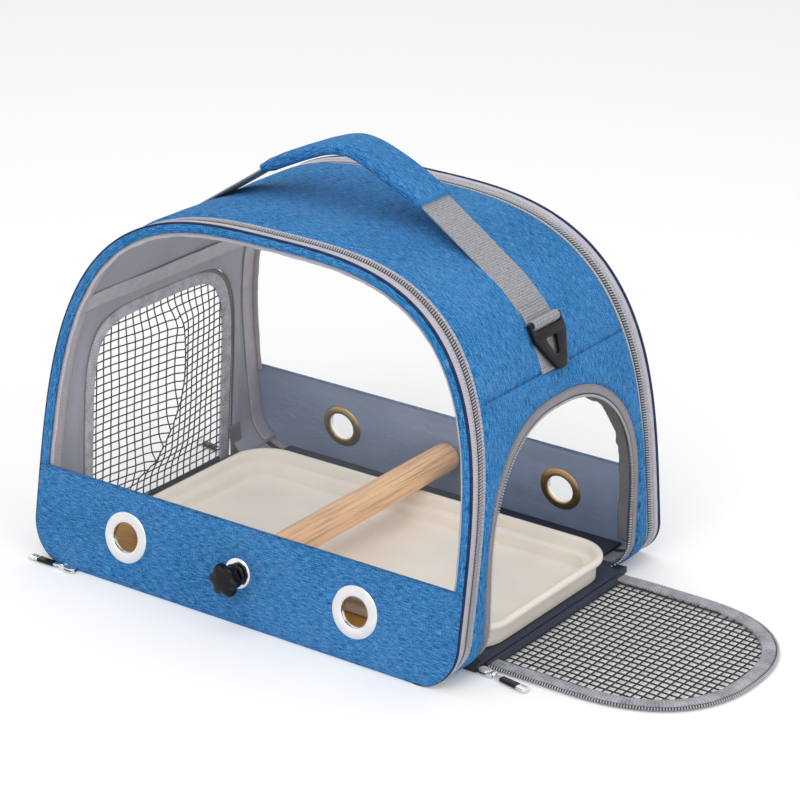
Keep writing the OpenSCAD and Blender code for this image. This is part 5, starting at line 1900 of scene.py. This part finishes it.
        def pad(i: int) -> np.ndarray:
            """The bound edge's soft section, fuller at its middle."""
            w, h = 5.4 + 0.35 * wave[i], 2.1 + 0.25 * wave[i]
            a = np.radians(np.linspace(0, 360, 20, endpoint=False))
            p = np.column_stack([w * np.sign(np.cos(a)) * np.abs(np.cos(a)) ** 0.5,
                                 h * np.sign(np.sin(a)) * np.abs(np.sin(a)) ** 0.6])
            p[:, 1] += (lift[i] + tilt[i]) * smooth((p[:, 0] + w) / (2 * w), 0.0, 1.0)
            return p

        sweep(self.put(pts), self.turn(side), self.turn(up), pad, parts)
        strip = self.edge(-1.5, 2.4, 2.6)
        rise = lift_of(strip[0])

        def chain_tape(i: int) -> np.ndarray:
            """The dark strip between the bound edge and the coil."""
            p = rounded(-2.4, 1.0, -1.0, 0.7, 0.4, 2)
            p[:, 1] += rise[i]
            return p

        sweep(self.put(strip[0]), self.turn(strip[1]), self.turn(np.tile([0, 0, 1.0], (len(strip[0]), 1))),
              chain_tape, parts, slot=1)
        obj = weld(parts.build(self.word + "_bound_edge", [self.binding, self.chain]))
        shop.fit(obj, body, "grey_binding", body + "_binding")
        pts, side = self.edge(-10.6, 14.0, 3.3)
        rows, alongs, outs = [], [], []
        for sign in (1.0, -1.0):
            rows.append(self.put(pts + np.array([0, 0, sign * 1.85])))
            alongs.append(self.turn(tangents(pts)))
            outs.append(self.turn(np.tile([0, 0, sign], (len(pts), 1))))
        obj = shop.place_links(self.word + "_door_stitches", np.vstack(rows), np.vstack(alongs), np.vstack(outs),
                               (2.3, 0.55, 0.5), Finishes.THREAD)
        shop.fit(obj, body, "grey_binding")
        pts, side = self.edge(-1.0, 2.4, 2.2)
        pts[:, 2] += lift_of(pts)
        obj = shop.place_links(self.word + "_door_coil", self.put(pts), self.turn(tangents(pts)),
                               self.turn(np.tile([0, 0, 1.0], (len(pts), 1))), (1.3, 2.7, 2.6), self.coil)
        shop.fit(obj, body, "zipper_teeth", body + "_teeth")
        self.net(shop)


# ---- the handle and the strap rings


@dataclass
class Handle:
    """The padded sleeve on its webbing, and the loops for the strap rings."""

    rise: float = 347.0
    half: float = 74.0
    slope: float = 0.53
    bend: float = 25.0
    thick: float = 9.0
    width: float = 41.0
    landing: tuple[float, float] = (140.3, 268.5)
    bar: tuple[float, float] = (173.251, 240.715)

    def spine(self, x: np.ndarray, d: float) -> np.ndarray:
        """Points of the sleeve in X and Z, d under its top."""
        root = np.sqrt(x * x + self.bend ** 2)
        s = self.slope * x / root
        z = self.rise - self.slope * (root - self.bend) - d * np.sqrt(1 + s * s)
        return np.column_stack([x, z])

    @staticmethod
    def ribbon(flat: np.ndarray, profile: np.ndarray | Callable[[int], np.ndarray], parts: MeshParts) -> None:
        """Sweeps a section along a line in the plane Y = 0."""
        path = np.column_stack([flat[:, 0], np.zeros(len(flat)), flat[:, 1]])
        across = np.tile([0.0, 1.0, 0.0], (len(path), 1))
        out = unit(np.cross(tangents(path), across))
        out *= np.sign(out[len(out) // 2, 2]) or 1.0
        sweep(path, across, out, profile, parts)

    def sleeve(self, shop: Shop) -> None:
        """The padded sleeve, flat at its stitched ends and peaked in the middle."""
        x = np.linspace(-self.half, self.half, 120)
        flat = self.spine(x, self.thick / 2)
        path = np.column_stack([flat[:, 0], x * 0, flat[:, 1]])
        wave = ripple(path, 26.0, 4.0)
        end = smooth(self.half - np.abs(x), 0.0, 9.0)

        def section(i: int) -> np.ndarray:
            """A flattened oval, thinner at the sewn ends."""
            h = (self.thick / 2 + 0.3) * (0.78 + 0.24 * end[i]) + 0.35 * wave[i] * end[i]
            w = self.width / 2 - 0.4 + 0.3 * wave[i]
            a = np.radians(np.linspace(0, 360, 44, endpoint=False))
            p = np.column_stack([w * np.sign(np.cos(a)) * np.abs(np.cos(a)) ** 0.3,
                                 h * np.sign(np.sin(a)) * np.abs(np.sin(a)) ** 0.6])
            crease = 0.35 * np.sin(p[:, 0] * 0.35 + 2 * wave[i]) * end[i] * (np.abs(p[:, 0]) < w - 3)
            p[:, 1] += crease * np.sign(p[:, 1])
            return p

        parts = MeshParts()
        self.ribbon(flat, section, parts)
        obj = weld(parts.build("sleeve_cloth", [Finishes.BLUE]))
        shop.fit(obj, "cabin", "blue_fabric", "handle_sleeve")
        pts, along, outs = [], [], []
        for sign in (-1, 1):
            for inset in (2.6, 5.0):
                y = np.arange(-17.5, 17.6, 2.9)
                at = self.spine(np.array([sign * (self.half - inset)]), 0.0)[0]
                drop = self.thick * 0.5 * (0.36 - 0.03 * inset)
                normal = np.array([sign * self.slope, 0.0, 1.0]) / math.hypot(1.0, self.slope)
                pts.append(np.column_stack([np.full(len(y), at[0]), y, np.full(len(y), at[1] - drop)]))
                along.append(np.tile([0.0, 1.0, 0.0], (len(y), 1)))
                outs.append(np.tile(normal, (len(y), 1)))
        obj = shop.place_links("sleeve_stitches", np.vstack(pts), np.vstack(along), np.vstack(outs), (2.0, 0.6, 0.7),
                               Finishes.BLUE_THREAD)
        shop.fit(obj, "cabin", "blue_fabric")

    def webbing(self, shop: Shop) -> None:
        """The webbing: sewn into the side seams, up over the roof and through the sleeve."""
        s1, s2 = ARCH.s_at(CABIN.seam_z - 0.5, End.RIGHT), ARCH.s_at(self.landing[1] - 1.3, End.RIGHT)
        up = ARCH.at(np.linspace(s1, s2, 30), -0.95)
        tip = self.spine(np.array([self.half - 6.0]), self.thick / 2)
        right = np.vstack([up, tip])
        middle = self.spine(np.linspace(self.half - 8.0, 8.0 - self.half, 60), self.thick / 2)
        line = resample(np.vstack([right, middle, right[::-1] * [-1.0, 1.0]]), 3.0)
        wave = ripple(np.column_stack([line, line[:, 0] * 0]), 30.0, 3.0)
        parts = MeshParts()
        self.ribbon(line, lambda i: rounded(-18.0, 18.0 + 0.3 * wave[i], -0.85, 0.9 + 0.12 * wave[i], 0.7, 2, 5), parts)
        shop.fit(weld(parts.build("handle_strap", [Finishes.WEBBING])), "cabin", "grey_webbing", "handle_webbing")

    def loops(self, shop: Shop) -> None:
        """The stitched folds of webbing round the strap rings' bars."""
        parts = MeshParts()
        pts, along, outs = [], [], []
        for end in End:
            centre = np.array(self.bar)
            s0 = float(np.interp(237.6, ARCH._z, ARCH._zs))
            n = ARCH.out_at(np.array([s0]))[0]
            t = np.array([-n[1], n[0]])
            turn = np.radians(np.linspace(0.0, 325.0, 40))
            ring = centre - 3.25 * (np.cos(turn)[:, None] * n + np.sin(turn)[:, None] * t)
            tail = ARCH.at(np.linspace(s0 + 15.0, s0 + 3.0, 8), -2.6)
            line = np.vstack([tail, ring]) * [end.value, 1.0]
            path = np.column_stack([line[:, 0], np.zeros(len(line)), line[:, 1]])
            across = np.tile([0.0, 1.0, 0.0], (len(path), 1))
            sweep(path, across, unit(np.cross(tangents(path), across)), rounded(-17.0, 17.0, -0.72, 0.72, 0.6, 2, 5),
                  parts)
            for lift in (4.6, 6.4, 13.6):
                y = np.arange(-14.5, 14.6, 2.8)
                at = ARCH.at(np.array([s0 + lift]), -3.35)[0]
                pts.append(np.column_stack([np.full(len(y), end.value * at[0]), y, np.full(len(y), at[1])]))
                along.append(np.tile([0.0, 1.0, 0.0], (len(y), 1)))
                outs.append(np.tile([end.value * n[0], 0.0, n[1]], (len(y), 1)))
        obj = weld(parts.build("ring_loop_webbing", [Finishes.WEBBING]))
        shop.fit(obj, "cabin", "grey_webbing", "ring_loops")
        obj = shop.place_links("ring_loop_stitches", np.vstack(pts), np.vstack(along), np.vstack(outs),
                               (2.0, 0.6, 0.6), Finishes.THREAD)
        shop.fit(obj, "cabin", "grey_webbing")

    def build(self, shop: Shop) -> None:
        """Builds the sleeve, the webbing and the loops."""
        self.sleeve(shop)
        self.webbing(shop)
        self.loops(shop)


def soft_corners(points: Sequence[tuple[float, float]], r: float, n: int = 6) -> list[tuple[float, float]]:
    """Rounds every corner of a closed outline.

    Args:
        points: the corners in order.
        r: how far from a corner its round starts.
        n: steps in a corner.

    Returns:
        The rounded outline's points.
    """
    p = np.array(points, float)
    out = []
    for i, here in enumerate(p):
        before, after = p[i - 1] - here, p[(i + 1) % len(p)] - here
        a = here + before * min(0.5, r / np.linalg.norm(before))
        b = here + after * min(0.5, r / np.linalg.norm(after))
        for t in np.linspace(0.0, 1.0, n + 1):
            out.append(tuple((1 - t) ** 2 * a + 2 * t * (1 - t) * here + t * t * b))
    return out


def plate(name: str, outlines: Sequence[Sequence[tuple[float, float]]], thick: float, bevel: float,
          place: Matrix, finish: Finish) -> bpy.types.Object:
    """A flat plate with round edges; outlines inside the first one are its holes.

    Args:
        name: the object's name.
        outlines: closed outlines in the plate's own X and Y, in millimetres.
        thick: the plate's thickness.
        bevel: the radius of its edges.
        place: puts the plate's middle plane in the cabin's frame.
        finish: its finish.

    Returns:
        A mesh object at the origin.
    """
    curve = bpy.data.curves.new(name, "CURVE")
    curve.dimensions, curve.fill_mode = "2D", "BOTH"
    curve.extrude, curve.bevel_depth, curve.bevel_resolution = (thick / 2 - bevel), bevel, 3
    curve.offset = -bevel
    for outline in outlines:
        spline = curve.splines.new("POLY")
        spline.points.add(len(outline) - 1)
        for point, (x, y) in zip(spline.points, outline):
            point.co = (x, y, 0.0, 1.0)
        spline.use_cyclic_u = True
    made = bpy.data.objects.new(name + "_outline", curve)
    bpy.context.scene.collection.objects.link(made)
    graph = bpy.context.evaluated_depsgraph_get()
    graph.update()
    mesh = bpy.data.meshes.new_from_object(made.evaluated_get(graph))
    mesh.name = name
    bpy.data.objects.remove(made)
    bpy.data.curves.remove(curve)
    mesh.transform(Matrix.Scale(MM, 4) @ place)
    mesh.materials.clear()
    mesh.materials.append(finish.material())
    mesh.shade_smooth()
    obj = bpy.data.objects.new(name, mesh)
    bpy.context.scene.collection.objects.link(obj)
    return sharpen(weld(obj, 0.005), 35)


@dataclass
class StrapRing:
    """A flat three-cornered plastic ring that hangs from a loop by its round bar."""

    end: End
    bar: tuple[float, float] = (173.251, 240.715)
    hang: float = 28.0
    half: float = 21.0
    length: float = 38.0
    thick: float = 4.0

    def build(self, shop: Shop) -> None:
        """Builds the plate, its window and its bar."""
        h, l = self.half, self.length
        outer = soft_corners([(h, 2.1), (h, -0.32 * l), (h - 2, -0.4 * l), (7, -0.94 * l), (4, -l), (-4, -l),
                              (-7, -0.94 * l), (2 - h, -0.4 * l), (-h, -0.32 * l), (-h, 2.1), (-17.9, 2.1),
                              (-17.9, -5.2), (17.9, -5.2), (17.9, 2.1)], 3.4)
        window = soft_corners([(8.2, -12.6), (-8.2, -12.6), (-2.6, -26.4), (2.6, -26.4)], 3.2)
        a = math.radians(self.hang)
        s = float(self.end.value)
        place = axes((s * self.bar[0], 0.0, self.bar[1]), (0.0, s, 0.0), (s * math.cos(a), 0.0, math.sin(a)))
        word = self.end.name.lower()
        obj = plate(word + "_ring_plate", [outer, window], self.thick, 0.9, place, Finishes.BLACK)
        parts = MeshParts()
        lathe([(0.0, -h), (1.7, -h), (2.2, 0.6 - h), (2.2, h - 0.6), (1.7, h), (0.0, h)],
              axes((s * self.bar[0], 0.0, self.bar[1]), (1.0, 0.0, 0.0), (0.0, 1.0, 0.0)), parts, 24)
        rod = weld(parts.build(word + "_ring_bar", [Finishes.BLACK]))
        shop.fit(obj, word + "_strap_ring", "black_plastic", word + "_strap_ring")
        shop.fit(sharpen(rod, 50), word + "_strap_ring", "black_plastic")


# ---- the zipper sliders


@dataclass
class ZipSlider:
    """A metal zipper slider and its pull, at one of the four chains."""

    name: str
    body: str
    foot: tuple[float, float, float]
    turn: float

    @property
    def place(self) -> Matrix:
        """The slider's frame: its foot, and its pin towards X."""
        a = math.radians(self.turn)
        return axes(self.foot, (math.cos(a), math.sin(a), 0.0), (0.0, 0.0, 1.0))

    def raised(self, z: float) -> Matrix:
        """The slider's frame, moved up."""
        return self.place @ Matrix.Translation((0.0, 0.0, z))

    def build(self, shop: Shop) -> None:
        """Builds the slider's two wings and bridge, and the long pull."""
        wing = soft_corners([(0.1, -2.6), (2.6, -4.2), (8.6, -4.1), (10.9, -2.4), (10.9, 2.4), (8.6, 4.1), (2.6, 4.2),
                             (0.1, 2.6)], 2.0)
        post = soft_corners([(1.5, -1.1), (6.0, -1.3), (6.0, 1.3), (1.5, 1.1)], 1.0)
        pieces = [plate(self.name + "_lower_wing", [wing], 1.1, 0.35, self.raised(0.6), Finishes.CHROME),
                  plate(self.name + "_upper_wing", [wing], 1.1, 0.35, self.raised(3.0), Finishes.CHROME),
                  plate(self.name + "_post", [post], 2.2, 0.2, self.raised(1.8), Finishes.CHROME)]
        lug = soft_corners([(9.6, -0.2), (14.2, -0.4), (14.8, 1.8), (14.2, 3.6), (9.6, 3.6)], 1.2)
        for sign in (-1, 1):
            side = self.place @ Matrix.Translation((0, sign * 2.8, 0)) @ Matrix.Rotation(math.radians(90), 4, "X")
            pieces.append(plate(self.name + "_lug_%d" % (sign > 0), [lug], 1.2, 0.3, side, Finishes.CHROME))
        parts = MeshParts()
        pin = self.place @ Matrix.Translation((13.6, 0, 1.8)) @ Matrix.Rotation(math.radians(90), 4, "X")
        lathe([(0.0, -3.2), (0.8, -3.2), (0.8, 3.2), (0.0, 3.2)], pin, parts, 16)
        pieces.append(weld(parts.build(self.name + "_pin", [Finishes.CHROME])))
        for piece in pieces:
            shop.fit(piece, "cabin", "bright_metal", "zipper_sliders")
        self.pull(shop)

    def pull(self, shop: Shop) -> None:
        """The pull: a metal eye and rim round a black middle, with a ribbed end."""
        at = self.place @ Matrix.Translation((13.6, 0.0, 1.8))
        rim = soft_corners([(2.2, -1.6), (7.0, -2.2), (24.0, -2.4), (25.4, -3.5), (33.2, -3.7), (34.0, -3.0), (34.0, 3.0),
                            (33.2, 3.7), (25.4, 3.5), (24.0, 2.4), (7.0, 2.2), (2.2, 1.6)], 0.9)
        middle = soft_corners([(8.0, -2.7), (24.6, -3.1), (24.6, 3.1), (8.0, 2.7)], 0.9)
        pieces = [(plate(self.name + "_pull_plate", [rim], 1.8, 0.5, at, Finishes.CHROME), "bright_metal"),
                  (plate(self.name + "_pull_grip", [middle], 2.5, 0.35, at, Finishes.BLACK), "black_plastic")]
        parts = MeshParts()
        eye = at @ Matrix.Rotation(math.radians(90), 4, "X")
        lathe([(1.12, -1.8), (1.6, -1.9), (2.05, -1.6), (2.1, 0.0), (2.05, 1.6), (1.6, 1.9), (1.12, 1.8)], eye, parts,
              28, ring=True)
        for k in range(5):
            x = 26.2 + 1.3 * k
            path = moved(np.array([[x, -3.0, 0.9], [x, 0.0, 1.0], [x, 3.0, 0.9]]), at)
            along = moved(np.array([[1.0, 0, 0]] * 3), at) - moved(np.zeros((3, 3)), at)
            up = moved(np.array([[0, 0, 1.0]] * 3), at) - moved(np.zeros((3, 3)), at)
            sweep(path, along, up, rounded(-0.4, 0.4, -0.3, 0.35, 0.3, 2), parts)
        pieces.append((weld(parts.build(self.name + "_pull_eye", [Finishes.CHROME])), "bright_metal"))
        for k, (piece, slot) in enumerate(pieces):
            if k == 0:
                shop.fit(piece, self.body, slot, self.body)
            else:
                shop.fit(piece, self.body, slot)


# ---- light, camera and the run


@dataclass
class Studio:
    """The photograph's camera, a pale floor and soft light."""

    camera: tuple[float, float, float] = (1255.8, -1775.4, 1011.3)
    azimuth: float = 34.26
    elevation: float = 21.94
    roll: float = 1.263
    lens: float = 135.02
    lift: float = 0.09

    def shoot(self) -> None:
        """Sets the camera where the photograph was taken."""
        az, el, c = (math.radians(v) for v in (self.azimuth, self.elevation, self.roll))
        back = np.array([math.sin(az) * math.cos(el), -math.cos(az) * math.cos(el), math.sin(el)])
        right = np.array([math.cos(az), math.sin(az), 0.0])
        up = np.cross(back, right)
        r2 = math.cos(c) * right + math.sin(c) * up
        u2 = -math.sin(c) * right + math.cos(c) * up
        data = bpy.data.cameras.new("camera")
        data.sensor_width, data.lens = 36.0, self.lens
        data.clip_start, data.clip_end = 0.1, 20.0
        cam = bpy.data.objects.new("camera", data)
        m = Matrix.Identity(4)
        for k in range(3):
            m[k][0], m[k][1], m[k][2], m[k][3] = r2[k], u2[k], back[k], self.camera[k] * MM
        cam.matrix_world = m
        bpy.context.scene.collection.objects.link(cam)
        bpy.context.scene.camera = cam

    @staticmethod
    def lamp(name: str, place: tuple[float, float, float], size: float, power: float) -> None:
        """A soft square lamp that looks at the carrier."""
        data = bpy.data.lights.new(name, "AREA")
        data.size, data.energy = size, power
        obj = bpy.data.objects.new(name, data)
        obj.location = place
        obj.rotation_euler = (Vector((0.0, 0.0, 0.15)) - Vector(place)).to_track_quat("-Z", "Y").to_euler()
        bpy.context.scene.collection.objects.link(obj)

    def floor(self) -> None:
        """A pale floor that keeps the carrier's shadow."""
        mesh = bpy.data.meshes.new("studio_floor")
        mesh.from_pydata([(-6, -6, -0.0002), (6, -6, -0.0002), (6, 6, -0.0002), (-6, 6, -0.0002)], [], [(0, 1, 2, 3)])
        tree = Tree("studio floor")
        tree.shader.inputs["Base Color"].default_value = (0.93, 0.93, 0.93, 1.0)
        tree.plain(Roughness=0.9, Specular_IOR_Level=0.1)
        tree.shader.inputs["Emission Color"].default_value = (1.0, 1.0, 1.0, 1.0)
        seen = tree.math("MULTIPLY", tree.nodes.new("ShaderNodeLightPath").outputs["Is Camera Ray"], self.lift)
        tree.links.new(seen, tree.shader.inputs["Emission Strength"])
        mesh.materials.append(tree.mat)
        obj = bpy.data.objects.new("studio_floor", mesh)
        bpy.context.scene.collection.objects.link(obj)

    def sky(self) -> None:
        """An even grey sky that the camera sees as white."""
        world = bpy.data.worlds.new("studio")
        bpy.context.scene.world = world
        world.use_nodes = True
        nodes, links = world.node_tree.nodes, world.node_tree.links
        light = nodes["Background"]
        light.inputs["Color"].default_value = (1.0, 1.0, 1.0, 1.0)
        light.inputs["Strength"].default_value = 0.62
        white = nodes.new("ShaderNodeBackground")
        white.inputs["Color"].default_value = (1.0, 1.0, 1.0, 1.0)
        path, mix = nodes.new("ShaderNodeLightPath"), nodes.new("ShaderNodeMixShader")
        seen = path.outputs["Is Camera Ray"]
        for kind in ("Is Glossy Ray", "Is Transmission Ray"):
            both = nodes.new("ShaderNodeMath")
            both.operation = "MAXIMUM"
            links.new(seen, both.inputs[0])
            links.new(path.outputs[kind], both.inputs[1])
            seen = both.outputs["Value"]
        links.new(seen, mix.inputs["Fac"])
        links.new(light.outputs["Background"], mix.inputs[1])
        links.new(white.outputs["Background"], mix.inputs[2])
        links.new(mix.outputs["Shader"], nodes["World Output"].inputs["Surface"])

    def build(self) -> None:
        """Sets up the whole studio."""
        bpy.context.scene.view_settings.view_transform = "Standard"
        self.shoot()
        self.floor()
        self.sky()
        self.lamp("key", (0.6, -2.2, 2.4), 2.0, 34.0)
        self.lamp("fill", (2.6, -0.6, 1.4), 2.0, 16.0)
        self.lamp("top", (-0.4, 0.5, 2.8), 2.2, 18.0)


def dress_frame(frame: dict) -> None:
    """Gives the CAD nodes that stay in sight their own finishes."""
    kept = {"base_board": Finishes.BOARD, "arch_boning": Finishes.STEEL, "perch_inserts": Finishes.BRASS,
            "front_knob_stud": Finishes.STEEL, "rear_knob_stud": Finishes.STEEL}
    for name, finish in kept.items():
        obj = frame["nodes"][name]
        for slot in obj.material_slots:
            slot.material = finish.material()
        LOG.info("%s: carried over with %s", name, finish.name)


def shared_pieces(shop: Shop, front: tuple[MeshParts, MeshParts], rear: tuple[MeshParts, MeshParts]) -> None:
    """Builds and fits what both faces share: the wavy bindings and the eyelets."""
    obj = weld(joined(front[0], rear[0]).build("inner_window_bindings", [Finishes.PIPING]))
    shop.fit(obj, "cabin", "light_piping", "window_bindings")
    obj = weld(joined(front[1], rear[1]).build("port_eyelet_rings", [Finishes.CHROME, Finishes.BRASS]))
    shop.fit(sharpen(obj, 50), "cabin", "bright_metal", "port_eyelets")
    parts = MeshParts()
    for side in Side:
        face = Face(side)
        face.eyelet(0.0, face.perch_z, 5.0, 12.0, parts)
    obj = weld(parts.build("perch_eyelet_rings", [Finishes.CHROME, Finishes.BRASS]))
    shop.fit(sharpen(obj, 50), "cabin", "bright_metal", "perch_eyelets")


def main() -> None:
    """Builds every sub-assembly in the shared frame."""
    logging.basicConfig(level=logging.INFO, format="%(name)s: %(message)s")
    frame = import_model()
    dress_frame(frame)
    shop = Shop()
    Shell().build(shop)
    shared_pieces(shop, Face(Side.FRONT).build(shop), Face(Side.REAR).build(shop))
    right = Opening(End.RIGHT, RIGHT_DOOR)
    right.build(shop)
    Opening(End.LEFT, LEFT_DOOR).build(shop)
    InnerFlap(right).build(shop)
    Perch().build(shop)
    Tray().build(shop)
    for side in Side:
        StarKnob(side).build(shop)
    Door(End.RIGHT, RIGHT_DOOR, 7.0, 7.0, Finishes.DOOR_BINDING, Finishes.TEETH, Finishes.DARK_TAPE).build(shop)
    # the left door's binding is lightened as painted light
    Door(End.LEFT, LEFT_DOOR, 8.8, 6.8, Finishes.LIGHTENED_LEFT_BINDING, Finishes.GREY_TEETH, Finishes.LEFT_CHAIN, 0.6).build(shop)
    Handle().build(shop)
    for end in End:
        StrapRing(end).build(shop)
    for slider in (ZipSlider("right_slider", "right_door_pull", (194.106, -104.6, 0.5), -10.0),
                   ZipSlider("left_slider", "left_door_pull", (-194.106, 102.6, 0.5), 170.0),
                   ZipSlider("front_slider", "front_face_pull", (-152.0, -155.076, 0.5), 180.0),
                   ZipSlider("rear_slider", "rear_face_pull", (-152.0, 155.076, 0.5), 180.0)):
        slider.build(shop)
    Studio().build()


if __name__ == "__main__":
    main()
